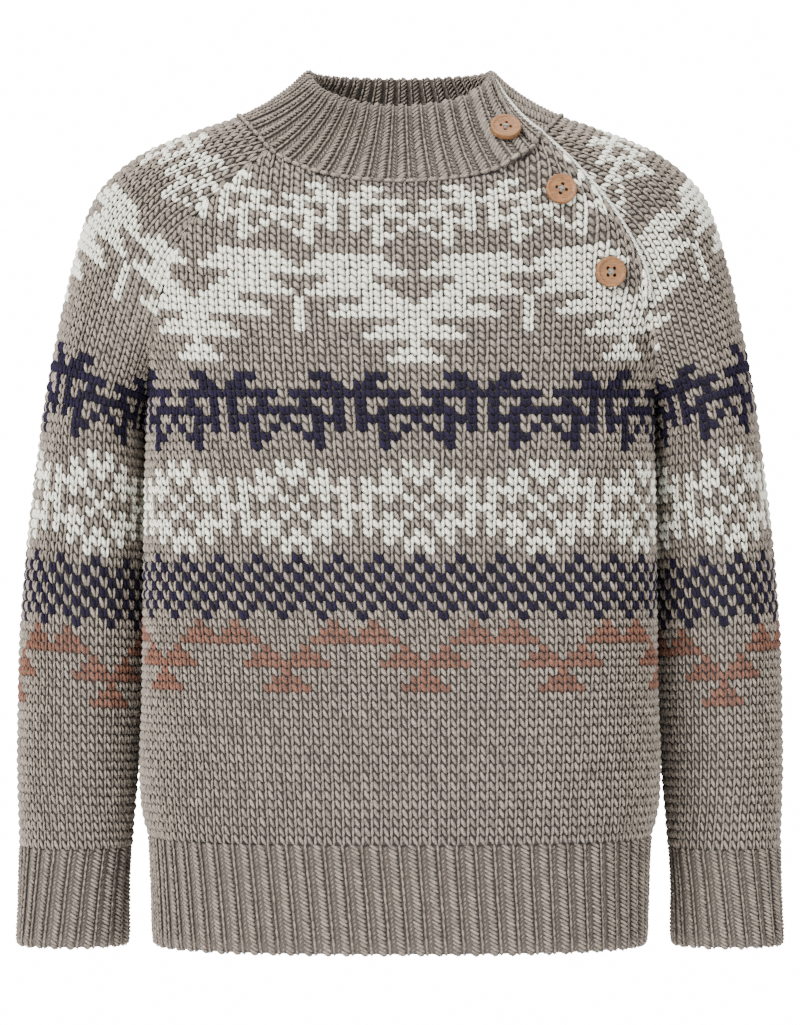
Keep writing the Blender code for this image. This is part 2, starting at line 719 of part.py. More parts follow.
def button_mesh(name):
    """A turned wooden button with a raised rim and rounded edges."""
    radius = BUTTON_DIAMETER / 2
    well = radius - BUTTON_RIM_WIDTH
    profile = (
        (radius - BUTTON_BACK_ROUND, 0.0),
        (radius, BUTTON_BACK_RISE),
        (radius, BUTTON_THICKNESS - BUTTON_FRONT_DROP),
        (radius - BUTTON_FRONT_ROUND, BUTTON_THICKNESS),
        (well, BUTTON_THICKNESS - BUTTON_DISH),
    )
    vertices = [Vector((0.0, 0.0, 0.0)), Vector((0.0, 0.0, BUTTON_THICKNESS - BUTTON_DISH))]
    for r, height in profile:
        for k in range(BUTTON_SIDES):
            angle = 2 * math.pi * k / BUTTON_SIDES
            vertices.append(Vector((r * math.cos(angle), r * math.sin(angle), height)))
    faces = []
    for k in range(BUTTON_SIDES):
        next_k = (k + 1) % BUTTON_SIDES
        faces.append((0, 2 + next_k, 2 + k))
        for ring in range(len(profile) - 1):
            low = 2 + ring * BUTTON_SIDES
            high = low + BUTTON_SIDES
            faces.append((low + k, low + next_k, high + next_k, high + k))
        last = 2 + (len(profile) - 1) * BUTTON_SIDES
        faces.append((1, last + k, last + next_k))
    return build_mesh(name, [np.array(v) for v in vertices], faces, WOOD)


def hole_cutter(name):
    """Four upright prisms that cut a button's sewing holes."""
    vertices = []
    faces = []
    reach = BUTTON_HOLE_SPACING / 2
    for cx, cy in ((reach, reach), (-reach, reach), (-reach, -reach), (reach, -reach)):
        first = len(vertices)
        for height in (-CUTTER_REACH, BUTTON_THICKNESS + CUTTER_REACH):
            for k in range(BUTTON_HOLE_SIDES):
                angle = 2 * math.pi * k / BUTTON_HOLE_SIDES
                r = BUTTON_HOLE_DIAMETER / 2
                vertices.append(np.array((cx + r * math.cos(angle), cy + r * math.sin(angle), height)))
        low = list(range(first, first + BUTTON_HOLE_SIDES))
        high = [v + BUTTON_HOLE_SIDES for v in low]
        faces.append(tuple(reversed(low)))
        faces.append(tuple(high))
        for k in range(BUTTON_HOLE_SIDES):
            next_k = (k + 1) % BUTTON_HOLE_SIDES
            faces.append((low[k], low[next_k], high[next_k], high[k]))
    cutter = build_mesh(name, vertices, faces, WOOD)
    cutter.hide_render = True
    cutter.display_type = "WIRE"
    return cutter


def make_buttons():
    """Three buttons, each lying on its piece with a hair's gap."""
    for name, piece, x, z in BUTTON_PLACES:
        seat, facing = seat_on(bpy.data.objects[piece], x, z)
        button = button_mesh(name)
        cutter = hole_cutter(name + "_holes")
        for item in (button, cutter):
            item.rotation_mode = "QUATERNION"
            item.rotation_quaternion = facing.to_track_quat("Z", "X")
            item.location = seat + facing * BUTTON_CLEARANCE * MM
        holes = button.modifiers.new("sewing holes", "BOOLEAN")
        holes.operation = "DIFFERENCE"
        holes.solver = "EXACT"
        holes.object = cutter


def main():
    clear_scene()
    grids, closed = main_grids()
    raglan_seams(grids)
    side_seams(grids)
    neck, neck_normals = share_neck_normals(grids)
    grids["front"][0] = lift_flap(*grids["front"])
    for name, (grid, normals) in grids.items():
        rows = closed if name.startswith("sleeve") else np.zeros(len(grid), dtype=bool)
        shell(name, grid, grid - normals * WALL, rows, WOOL)
    collar = make_collar(neck, neck_normals)
    front, front_normals = grids["front"]
    make_edging(collar, (front, front - front_normals * WALL))
    make_hem()
    make_cuffs()
    make_buttons()


if __name__ == "__main__":
    main()
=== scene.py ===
"""A child's fair isle pullover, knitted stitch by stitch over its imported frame.

Sizes are in millimetres until a mesh is made. +X is the wearer's left, -Y the front and
+Z up. Courses and wales are the rows and columns of the knitting.
"""
from __future__ import annotations

import json
import logging
import math
from dataclasses import dataclass, field, replace
from enum import Enum

import bmesh
import bpy
import numpy as np
from mathutils import Matrix, Vector

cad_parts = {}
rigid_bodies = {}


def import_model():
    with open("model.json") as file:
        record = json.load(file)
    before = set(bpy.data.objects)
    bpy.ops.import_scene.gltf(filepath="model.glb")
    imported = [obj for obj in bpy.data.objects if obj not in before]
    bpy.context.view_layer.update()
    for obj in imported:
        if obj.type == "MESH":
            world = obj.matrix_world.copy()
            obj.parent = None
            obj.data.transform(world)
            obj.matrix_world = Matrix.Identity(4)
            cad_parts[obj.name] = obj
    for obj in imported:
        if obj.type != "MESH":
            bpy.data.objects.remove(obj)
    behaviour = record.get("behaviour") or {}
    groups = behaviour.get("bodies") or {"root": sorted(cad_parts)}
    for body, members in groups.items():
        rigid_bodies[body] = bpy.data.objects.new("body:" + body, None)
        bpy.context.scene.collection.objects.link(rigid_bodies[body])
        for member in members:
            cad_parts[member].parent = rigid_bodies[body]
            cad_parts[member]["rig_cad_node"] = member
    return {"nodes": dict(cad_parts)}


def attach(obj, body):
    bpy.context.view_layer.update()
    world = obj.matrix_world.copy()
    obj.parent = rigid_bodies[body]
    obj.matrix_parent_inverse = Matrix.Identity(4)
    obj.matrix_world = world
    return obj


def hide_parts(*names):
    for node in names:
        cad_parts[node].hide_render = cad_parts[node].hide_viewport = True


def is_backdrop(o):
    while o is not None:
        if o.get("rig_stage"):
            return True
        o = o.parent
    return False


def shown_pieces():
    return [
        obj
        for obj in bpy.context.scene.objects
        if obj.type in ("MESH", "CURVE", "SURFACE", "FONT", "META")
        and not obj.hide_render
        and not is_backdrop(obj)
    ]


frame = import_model()

MM = 0.001
ROOT = "root"
SEED = 11
LOG = logging.getLogger("pullover")

# Cloth
WALL = 3.0
COLLAR_WALL = 4.0
SEAM_GAP = 0.4
RIB_HEIGHT = 1.2
CLOTH_DEPTH = 1.1

# Levels of the body and its rib
UNDERARM_LEVEL = -140.0
HEM_BOTTOM = -395.0
BODY_BOTTOM = -341.8
HEM_TOP = -342.2
HEM_RIBS = 37
CUFF_TOP = -348.4
CUFF_BOTTOM = -397.0
CUFF_RIBS = 20

# The hollow that the arm presses into the side of the body
DENT_CENTRE = 4.0
DENT_WIDTH = 34.0

# Neckline and collar
FRONT_NECK_COURSE = -21.0
COURSE_RISE_POWER = 2.2
COLLAR_TOP_HALF = (46.0, 42.0)
COLLAR_TOP_LEVEL = 40.0
COLLAR_TOP_DIP = 21.0
COLLAR_BASE_HALF = (80.0, 64.0)
COLLAR_HOLLOW = 2.6
COLLAR_PULL_DOWN = 40.0
COLLAR_RIBS = 46
COLLAR_SEAM_GAP = 0.6
COLLAR_TOP_SHARE = 0.96

# Buttoned opening on the wearer's left front raglan
LAP_END_STATION = 101.0
FLAT_STATION = 119.0
FLAP_LIFT = 4.3
COLLAR_FLAP_LIFT = 5.7
COLLAR_FLAP_WIDTH = 15.0
COLLAR_LAP_TURN = 15.0
LIFT_MARGIN = 5.0
LIFT_RAMP = 16.0
EDGING_RADIUS = 1.2
EDGING_GAP = 0.5

# How finely the courses are drawn
DENSE = 160
SHIFT_POINTS = 8
UNDERARM_STATION = 192.0
CUFF_STATION = 411.0

# Points inside the body, collar and hem, from which their outer sides face away
BODY_MIDDLE = np.array((0.0, 0.0, -200.0))
COLLAR_MIDDLE = np.array((0.0, 0.0, 10.0))
HEM_MIDDLE = np.array((0.0, 0.0, HEM_BOTTOM))

Colour = tuple[float, float, float]


class Side(Enum):
    """The two body panels, with the way that each faces along Y."""

    FRONT = -1
    BACK = 1


class Yarn(Enum):
    """The yarns of the knitting."""

    TAUPE = "taupe"
    WHITE = "white"
    NAVY = "navy"
    RUST = "rust"


def smooth_curve(keys: np.ndarray, values: np.ndarray, key: np.ndarray | float) -> np.ndarray:
    """Read a cubic through points, with slopes that never overshoot them.

    Args:
        keys: Rising keys of the points.
        values: Their values.
        key: Where the curve is read.

    Returns:
        The curve's values there.
    """
    step = np.diff(keys)
    slope = np.diff(values) / step
    tangent = np.zeros(len(keys))
    tangent[0] = slope[0]
    tangent[-1] = slope[-1]
    before = slope[:-1]
    after = slope[1:]
    same_way = before * after > 0
    mean = 2 * before * after / np.where(same_way, before + after, 1.0)
    tangent[1:-1] = np.where(same_way, mean, 0.0)
    key = np.asarray(key, dtype=float)
    i = np.clip(np.searchsorted(keys, key, side="right") - 1, 0, len(step) - 1)
    h = step[i]
    t = np.clip((key - keys[i]) / h, 0.0, 1.0)
    rise = (1 + 2 * t) * (1 - t) ** 2 * values[i] + t * t * (3 - 2 * t) * values[i + 1]
    bend = t * (1 - t) ** 2 * h * tangent[i] - t * t * (1 - t) * h * tangent[i + 1]
    return rise + bend


@dataclass(frozen=True)
class Table:
    """Rows of sizes with named columns, read by a smooth curve through them."""

    columns: tuple[str, ...]
    rows: tuple[tuple[float, ...], ...]

    def read(self, name: str, key: np.ndarray | float) -> np.ndarray:
        """Read a column at a key of the first column.

        Args:
            name: The column.
            key: Where it is read.

        Returns:
            Its values there.
        """
        data = np.array(self.rows, dtype=float)
        data = data[np.argsort(data[:, 0])]
        return smooth_curve(data[:, 0], data[:, self.columns.index(name)], key)

    def at(self, key: float) -> dict[str, float]:
        """All columns at one key."""
        return {name: float(self.read(name, key)) for name in self.columns}


# One row for each course of a sleeve. The station is the way from the collar along the
# shoulder line. The seam is the front raglan, or under the arm the inner side. The outer
# point is the shoulder line. Reach is the half angle of the course round its middle.
SLEEVE = Table(
    ("station", "seam_x", "seam_z", "outer_x", "outer_z", "middle_y", "half_depth", "reach", "back_lift"),
    (
        (0, 64.5, -3.5, 81.0, 16.0, 0.0, 45.3, 70, 12.5),
        (21, 84.0, -19.5, 101.5, 9.0, 0.0, 48.0, 86, 10.0),
        (50, 103.0, -40.0, 128.0, -2.0, 0.5, 49.0, 90, 8.0),
        (83, 113.7, -64.0, 152.0, -24.0, 1.0, 46.5, 95, 5.0),
        (119, 121.0, -92.0, 163.5, -58.0, 2.0, 45.5, 112, 3.0),
        (156, 124.8, -116.0, 171.5, -94.0, 3.0, 45.5, 141, 1.0),
        (192, 127.3, -140.0, 178.0, -130.0, 4.0, 46.0, 180, 0.0),
        (224, 126.2, -170.0, 182.0, -161.0, 4.0, 43.0, 180, 0.0),
        (262, 125.6, -205.0, 186.5, -199.0, 4.0, 41.0, 180, 0.0),
        (319, 126.2, -260.0, 190.5, -256.0, 4.5, 36.0, 180, 0.0),
        (368, 131.0, -307.0, 191.2, -305.0, 4.0, 32.5, 180, 0.0),
        (411, 134.5, -348.0, 190.0, -348.0, 3.0, 28.5, 180, 0.0),
    ),
)

# The yoke's courses on the front and back, at the same stations of the raglan seam
YOKE = Table(
    ("station", "front_course", "front_y", "front_depth", "front_power",
     "back_course", "back_y", "back_depth", "back_power"),
    (
        (0, -12.5, -60.0, 62, 2.0, 3.0, 62.0, 62, 2.0),
        (21, -29.0, -67.5, 80, 2.0, -16.5, 71.0, 80, 2.0),
        (50, -49.0, -74.5, 110, 2.0, -39.5, 77.5, 110, 2.0),
        (83, -71.5, -80.8, 140, 2.05, -65.0, 80.5, 130, 2.05),
        (119, -97.0, -84.8, 118, 2.2, -92.0, 82.0, 108, 2.2),
        (156, -118.0, -86.4, 102, 2.45, -116.0, 82.3, 94, 2.45),
        (192, -140.0, -87.2, 91.2, 2.75, -140.0, 82.0, 78, 2.75),
    ),
)

# The body below the arms and its rib
BODY = Table(
    ("level", "half_width", "front_y", "back_y", "side_y", "power", "dent"),
    (
        (-140, 126.7, -87.2, 82.0, 4.0, 2.75, 0.0),
        (-152, 130.2, -87.5, 82.0, 4.0, 2.73, 5.5),
        (-170, 133.0, -87.9, 82.0, 4.0, 2.7, 10.0),
        (-200, 133.6, -88.6, 81.5, 3.5, 2.7, 11.5),
        (-260, 134.0, -90.0, 79.0, 2.5, 2.7, 11.5),
        (-300, 133.5, -89.5, 77.0, 1.0, 2.7, 7.0),
        (-322, 131.0, -86.5, 75.0, 0.0, 2.7, 3.0),
        (-336, 127.0, -82.5, 73.5, -1.0, 2.7, 0.5),
        (-342, 124.5, -80.0, 73.0, -2.0, 2.7, 0.0),
        (-395, 122.5, -79.0, 72.0, -3.0, 2.7, 0.0),
    ),
)

# A cuff's inner and outer sides, front and back
CUFF = Table(
    ("level", "inner_x", "outer_x", "front_y", "back_y"),
    (
        (-348, 135.0, 190.0, -25.0, 31.0),
        (-372, 136.0, 190.5, -25.0, 30.5),
        (-397, 136.0, 191.5, -25.0, 30.0),
    ),
)

# How far the wearer's left seam lies beyond the right one's mirror image, and how far
# the front's free edge then laps over the sleeve
OPENING = Table(
    ("station", "seam_shift", "lap"),
    (
        (0, 1.5, 7.0),
        (21, 0.5, 5.2),
        (50, 0.0, 3.8),
        (83, 0.8, 5.0),
        (92, 1.8, 4.5),
        (101, 3.6, 0.0),
        (119, 4.8, 0.0),
        (156, 3.0, 0.0),
        (192, 0.0, 0.0),
    ),
)

# Upper edges of the body's rows of stitches at the middle
BODY_ROWS = Table(
    ("row", "level"),
    (
        (-8, 4.1), (0, -22.7), (9, -52.6), (10, -56.5), (25, -109.4), (26, -113.7),
        (35, -150.9), (36, -155.6), (47, -201.2), (54, -232.6), (63, -267.6), (80, BODY_BOTTOM),
    ),
)
BODY_ROW_END = 80
FRONT_ROW_START = -3
BACK_ROW_START = -7

# A stitch's width on the body, and how far the middle stitch lies to the wearer's left
BODY_WALES = Table(
    ("level", "pitch", "shift"),
    (
        (-22, 5.6, 6.2), (-57, 5.66, 6.6), (-78, 5.64, 7.0), (-100, 5.54, 7.4), (-130, 5.34, 7.9),
        (-146, 5.23, 8.4), (-175, 5.0, 9.2), (-205, 4.9, 9.6), (-250, 4.8, 12.2), (-342, 4.6, 13.0),
    ),
)

# Upper edges of a sleeve's rows of stitches, and a stitch's width there
SLEEVE_ROWS = Table(
    ("row", "station"),
    (
        (0, 0), (4, 17.5), (13, 55), (16, 69.5), (31, 137), (35, 157), (44, 203), (45, 208),
        (56, 262), (63, 298), (72, 338.4), (88, CUFF_STATION),
    ),
)
SLEEVE_ROW_END = 88
SLEEVE_WALES = Table(
    ("station", "pitch"),
    ((0, 5.2), (119, 5.0), (192, 4.75), (262, 4.6), (300, 4.5), (411, 4.2)),
)
LEFT_SLEEVE_SHIFT = 10.0
RIGHT_SLEEVE_SHIFT = -8.0


@dataclass(frozen=True)
class Motif:
    """A traditional repeat, charted from its middle stitch outwards.

    A dot is the ground yarn and any other letter the band's own yarn.
    """

    repeat: int
    half_rows: tuple[str, ...]

    def shows(self, row: int, wale: int) -> bool:
        """Say whether the band's own yarn makes a stitch.

        Args:
            row: The row within the band.
            wale: The stitch's number, counted from the middle one.

        Returns:
            True for the band's yarn, False for the ground.
        """
        half = self.repeat // 2
        distance = abs((wale + half) % self.repeat - half)
        return self.half_rows[row][distance] != "."


CROWN = Motif(12, (
    "...xx..",
    "....xx.",
    ".xxxxxx",
    "..x..x.",
    "xxxx.x.",
    "x..xxx.",
    ".x.x.x.",
    "..xx...",
    "...x...",
))
TREE = Motif(20, (
    "...xxxxxx..",
    "..xxxxxxxx.",
    ".xxxxxxxxxx",
    "....xxxx...",
    "...xxxxxx..",
    "..xxxxxxxx.",
    ".xxxx.....x",
    "xxxxxxx...x",
    "xxxxxxxx..x",
    "xx........x",
    "xxxx......x",
    "xxxxx......",
    "x..........",
    "xx.........",
    "xxx........",
))
SNOWFLAKE = Motif(12, (
    ".x.....",
    "xx.x...",
    "x.xx.x.",
    "..xxxx.",
    ".x.x.x.",
    "x....xx",
    ".x.x.x.",
    "..xxxx.",
    "x.xx.x.",
    "xx.x...",
    ".x.....",
))
BIRDSEYE = Motif(4, (
    "x..",
    ".x.",
    "x.x",
    ".x.",
    "x.x",
    ".x.",
    "..x",
))
GARLAND = Motif(14, (
    ".....x..",
    "....xxx.",
    "...xxxxx",
    "..x.....",
    ".xxx....",
    "xxxxx...",
    "x.......",
    "xx......",
    "xxx.....",
))


@dataclass(frozen=True)
class Band:
    """One motif in one yarn, from its first row."""

    motif: Motif
    yarn: Yarn
    first_row: int


@dataclass(frozen=True)
class BandPlan:
    """The bands of a piece, from its top to its rib."""

    bands: tuple[Band, ...]

    def yarn_at(self, row: int, wale: int) -> Yarn:
        """Name the yarn of one stitch.

        Args:
            row: The stitch's row.
            wale: Its number from the middle stitch.

        Returns:
            The yarn.
        """
        for band in self.bands:
            inside = row - band.first_row
            if 0 <= inside < len(band.motif.half_rows) and band.motif.shows(inside, wale):
                return band.yarn
        return Yarn.TAUPE


BODY_BANDS = BandPlan((
    Band(CROWN, Yarn.WHITE, 0),
    Band(TREE, Yarn.WHITE, 10),
    Band(CROWN, Yarn.NAVY, 26),
    Band(SNOWFLAKE, Yarn.WHITE, 36),
    Band(BIRDSEYE, Yarn.NAVY, 47),
    Band(GARLAND, Yarn.RUST, 54),
))
SLEEVE_BANDS = BandPlan((
    Band(CROWN, Yarn.WHITE, 4),
    Band(TREE, Yarn.WHITE, 16),
    Band(CROWN, Yarn.NAVY, 35),
    Band(SNOWFLAKE, Yarn.WHITE, 45),
    Band(BIRDSEYE, Yarn.NAVY, 56),
    Band(GARLAND, Yarn.RUST, 63),
))


def unit(vectors: np.ndarray) -> np.ndarray:
    """Scale vectors to a length of one."""
    vectors = np.asarray(vectors, dtype=float)
    length = np.linalg.norm(vectors, axis=-1, keepdims=True)
    return vectors / np.maximum(length, 1e-9)


def lengths_along(points: np.ndarray) -> np.ndarray:
    """Running length along a line of points, from its first one."""
    steps = np.linalg.norm(np.diff(points, axis=0), axis=1)
    return np.concatenate(([0.0], np.cumsum(steps)))


def at_ways(points: np.ndarray, ways: np.ndarray, wanted: np.ndarray) -> np.ndarray:
    """Read a line of points at given ways along it, and straight on past its ends.

    Args:
        points: The line.
        ways: How far along each point is.
        wanted: Where the line is read.

    Returns:
        A point for each wanted way.
    """
    inside = np.clip(wanted, ways[0], ways[-1])
    found = np.stack([np.interp(inside, ways, points[:, i]) for i in range(3)], axis=1)
    first = unit(points[1] - points[0])
    last = unit(points[-1] - points[-2])
    found += np.minimum(wanted - ways[0], 0.0)[:, None] * first
    found += np.maximum(wanted - ways[-1], 0.0)[:, None] * last
    return found


def at_fractions(points: np.ndarray, fractions: np.ndarray) -> np.ndarray:
    """Points of a line at shares of its length."""
    ways = lengths_along(points)
    return at_ways(points, ways, np.asarray(fractions) * ways[-1])


def smooth_step(t: np.ndarray | float) -> np.ndarray:
    """A rise from 0 to 1 that starts and ends flat."""
    t = np.clip(t, 0.0, 1.0)
    return t * t * (3 - 2 * t)


def mirrored(points: np.ndarray) -> np.ndarray:
    """The points on the wearer's other side."""
    return points * np.array((-1.0, 1.0, 1.0))


def sleeve_course(station: float) -> np.ndarray:
    """Draw one course of the wearer's left sleeve.

    Args:
        station: The way from the collar along the shoulder line.

    Returns:
        Points from the front seam round the outside to the back one.
    """
    read = SLEEVE.at(station)
    reach = math.radians(read["reach"])
    angle = np.linspace(-reach, reach, DENSE)
    across_x = read["outer_x"] - read["seam_x"]
    across_z = read["outer_z"] - read["seam_z"]
    inward = (1 - np.cos(angle)) / (1 - math.cos(reach))
    lift = read["back_lift"] * smooth_step(angle / reach)
    x = read["outer_x"] - across_x * inward
    y = read["middle_y"] + read["half_depth"] * np.sin(angle)
    z = read["outer_z"] - across_z * inward + lift * inward
    return np.stack((x, y, z), axis=1)


def panel_half(side: Side, middle: tuple, end: tuple, depth: float, power: float) -> np.ndarray:
    """Draw half a course of a body panel.

    Args:
        side: The front or the back.
        middle: The course's middle point.
        end: Its end on the wearer's left.
        depth: How far the whole curve would run back.
        power: How square the curve is.

    Returns:
        Points from the middle to the end.
    """
    drop = max(1 - side.value * (middle[1] - end[1]) / depth, 0.0)
    half_width = end[0] / (1 - drop**power) ** (1 / power)
    last = math.asin(min(1.0, (end[0] / half_width) ** (power / 2)))
    angle = np.linspace(0.0, last, DENSE)
    x = half_width * np.sin(angle) ** (2 / power)
    y = middle[1] - side.value * depth * (1 - np.abs(np.cos(angle)) ** (2 / power))
    z = middle[2] + (end[2] - middle[2]) * (x / end[0]) ** COURSE_RISE_POWER
    return np.stack((x, y, z), axis=1)


def yoke_half(side: Side, station: float, shift: float) -> np.ndarray:
    """Draw half a yoke course, run on over the sleeve.

    Args:
        side: The front or the back.
        station: The course's station on the raglan.
        shift: How far it runs on over the sleeve.

    Returns:
        Points from the middle to the edge on the wearer's left.
    """
    name = side.name.lower()
    course = sleeve_course(station)
    end = course[0] if side is Side.FRONT else course[-1]
    read = YOKE.at(station)
    middle = (0.0, read[name + "_y"], read[name + "_course"])
    half = panel_half(side, middle, end, read[name + "_depth"], read[name + "_power"])
    if shift > 0:
        run = at_ways(course, lengths_along(course), np.linspace(0.0, shift, SHIFT_POINTS))
        half = np.concatenate((half, run[1:]))
    return half


def body_half(side: Side, level: float) -> np.ndarray:
    """Draw half a body course below the arms.

    Args:
        side: The front or the back.
        level: The course's height.

    Returns:
        Points from the middle to the side seam, with the hollow pressed in by the arm.
    """
    read = BODY.at(level)
    front_back = read["front_y"] if side is Side.FRONT else read["back_y"]
    middle = (0.0, front_back, level)
    end = (read["half_width"], read["side_y"], level)
    half = panel_half(side, middle, end, abs(front_back - read["side_y"]), read["power"])
    half[:, 0] -= read["dent"] * np.exp(-(((half[:, 1] - DENT_CENTRE) / DENT_WIDTH) ** 2))
    return half


def full_course(side: Side, station: float | None, level: float) -> tuple[np.ndarray, np.ndarray]:
    """Draw a whole course of a body panel.

    Args:
        side: The front or the back.
        station: The yoke course's station, or None below the arms.
        level: The height of a course below the arms.

    Returns:
        Points from the wearer's right edge to the left one, and each one's way from the middle.
    """
    if station is None:
        left = right = body_half(side, level)
    else:
        shift = 0.0
        if side is Side.FRONT:
            shift = float(OPENING.read("seam_shift", station) + OPENING.read("lap", station))
        left = yoke_half(side, station, shift)
        right = yoke_half(side, station, 0.0)
    points = np.concatenate((mirrored(right)[::-1][:-1], left))
    ways = np.concatenate((-lengths_along(right)[::-1][:-1], lengths_along(left)))
    return points, ways


def station_of(side: Side, level: float) -> float:
    """Find the yoke station of a course by its height at the middle."""
    stations = np.linspace(0.0, UNDERARM_STATION, 400)
    levels = YOKE.read(side.name.lower() + "_course", stations)
    return float(np.interp(-level, -levels, stations))


def grid_normals(grid: np.ndarray, closed_rows: np.ndarray | None = None) -> np.ndarray:
    """Find the unit normals of a grid of points.

    Args:
        grid: Rows of points.
        closed_rows: Which rows join their last point to the first.

    Returns:
        A normal for each point.
    """
    down = np.gradient(grid, axis=0)
    across = np.gradient(grid, axis=1)
    if closed_rows is not None:
        wrap = grid[:, 1] - grid[:, -2]
        across[closed_rows, 0] = wrap[closed_rows]
        across[closed_rows, -1] = wrap[closed_rows]
    return unit(np.cross(across, down))


def facing_out(normals: np.ndarray, grid: np.ndarray, middle: np.ndarray) -> np.ndarray:
    """Turn the normals of a grid away from its middle.

    Args:
        normals: The grid's normals.
        grid: Its points.
        middle: A point or a line of points inside it.

    Returns:
        The normals, turned where needed.
    """
    outward = np.sum(normals * (grid - middle), axis=-1).sum()
    return normals if outward > 0 else -normals


def flap_rise(station: np.ndarray, from_edge: np.ndarray) -> np.ndarray:
    """Find how far the front's free edge stands off the sleeve under it.

    Args:
        station: The station of each point's course.
        from_edge: Each point's way from the free edge.

    Returns:
        The rise of each point.
    """
    closing = (station - LAP_END_STATION) / (FLAT_STATION - LAP_END_STATION)
    lap = OPENING.read("lap", station)
    ramp = 1 - smooth_step((from_edge - lap - LIFT_MARGIN) / LIFT_RAMP)
    return FLAP_LIFT * (1 - smooth_step(closing)) * ramp


@dataclass(frozen=True)
class Crease:
    """A soft trough or ridge that runs between two points of the cloth."""

    start: tuple[float, float, float]
    end: tuple[float, float, float]
    depth: float
    width: float

    def offset(self, points: np.ndarray) -> np.ndarray:
        """How far each point moves along its normal, below zero in a trough."""
        start = np.array(self.start)
        run = np.array(self.end) - start
        along = np.sum((points - start) * run, axis=-1) / np.sum(run * run)
        nearest = start + np.clip(along, 0.0, 1.0)[..., None] * run
        distance = np.linalg.norm(points - nearest, axis=-1)
        swell = 0.35 + 0.65 * np.sin(math.pi * np.clip(along, 0.0, 1.0))
        return -self.depth * swell * np.exp(-((distance / self.width) ** 2))


CREASES = (
    # armpits, front
    Crease((112, -48, -118), (84, -82, -150), 2.2, 9.0),
    Crease((120, -44, -132), (98, -76, -168), 1.6, 8.0),
    Crease((-112, -48, -116), (-88, -80, -146), 2.4, 9.0),
    Crease((-121, -42, -134), (-92, -78, -178), 1.5, 9.0),
    # armpits, back
    Crease((112, 46, -112), (82, 76, -148), 2.0, 10.0),
    Crease((-114, 46, -116), (-86, 74, -156), 2.3, 10.0),
    Crease((-120, 42, -136), (-98, 70, -176), 1.4, 8.0),
    # body above the rib
    Crease((118, -52, -300), (70, -86, -326), 1.3, 10.0),
    Crease((-122, -48, -286), (-78, -84, -322), 1.5, 11.0),
    Crease((-34, -90, -312), (22, -90, -318), 0.8, 12.0),
    Crease((104, 56, -292), (52, 76, -322), 1.4, 11.0),
    Crease((-110, 50, -304), (-40, 78, -318), 1.2, 12.0),
    Crease((-60, -88, -206), (-104, -70, -232), -0.9, 16.0),
    Crease((60, -88, -230), (108, -66, -252), -0.8, 15.0),
    # sleeves
    Crease((146, -42, -120), (176, -26, -138), 1.6, 8.0),
    Crease((150, -40, -186), (178, -22, -200), 1.2, 9.0),
    Crease((140, -32, -262), (176, -24, -278), 1.3, 9.0),
    Crease((142, -27, -322), (172, -24, -334), 1.1, 8.0),
    Crease((-146, -42, -116), (-174, -28, -134), 1.5, 8.0),
    Crease((-148, -40, -176), (-178, -22, -196), 1.3, 10.0),
    Crease((-142, -33, -248), (-180, -22, -266), 1.1, 9.0),
    Crease((-144, -28, -318), (-176, -22, -332), 1.2, 8.0),
    Crease((148, 48, -158), (178, 34, -178), 1.5, 9.0),
    Crease((142, 42, -240), (178, 30, -252), 1.2, 10.0),
    Crease((-146, 48, -150), (-176, 34, -172), 1.4, 9.0),
    Crease((-140, 42, -256), (-178, 28, -274), 1.3, 9.0),
)


def creased(points: np.ndarray, normals: np.ndarray) -> np.ndarray:
    """Move the points of the cloth into its creases along their normals."""
    offset = np.zeros(points.shape[:-1])
    for crease in CREASES:
        offset += crease.offset(points)
    return points + normals * offset[..., None]


@dataclass
class Lattice:
    """Courses and wales laid out on a surface, so that a stitch is placed by its numbers."""

    points: np.ndarray
    normals: np.ndarray
    pitch: np.ndarray
    first_row: float
    first_wale: float
    wale_step: float
    turn: float

    def read(self, grid: np.ndarray, rows: np.ndarray, wales: np.ndarray) -> np.ndarray:
        """Read a grid of the lattice between its samples.

        Args:
            grid: One of the lattice's grids.
            rows: Row numbers with their fractions.
            wales: Wale numbers with their fractions.

        Returns:
            The grid's value at each place.
        """
        down = np.clip(rows - self.first_row, 0.0, grid.shape[0] - 1.001)
        over = np.clip((wales - self.first_wale) / self.wale_step, 0.0, grid.shape[1] - 1.001)
        i = down.astype(int)
        j = over.astype(int)
        fi = down - i
        fj = over - j
        if grid.ndim == 3:
            fi = fi[..., None]
            fj = fj[..., None]
        upper = grid[i, j] * (1 - fj) + grid[i, j + 1] * fj
        lower = grid[i + 1, j] * (1 - fj) + grid[i + 1, j + 1] * fj
        return upper * (1 - fi) + lower * fi


@dataclass(frozen=True)
class LegStyle:
    """The form of one leg of yarn.

    The path is two ends and three rings between them, each with its place across and down
    the stitch, in shares of the stitch, and its height over the cloth. Widths are in shares
    of the stitch's width and crowns in millimetres.
    """

    path: tuple[tuple[float, float, float], ...]
    half_widths: tuple[float, float, float]
    crowns: tuple[float, float, float]


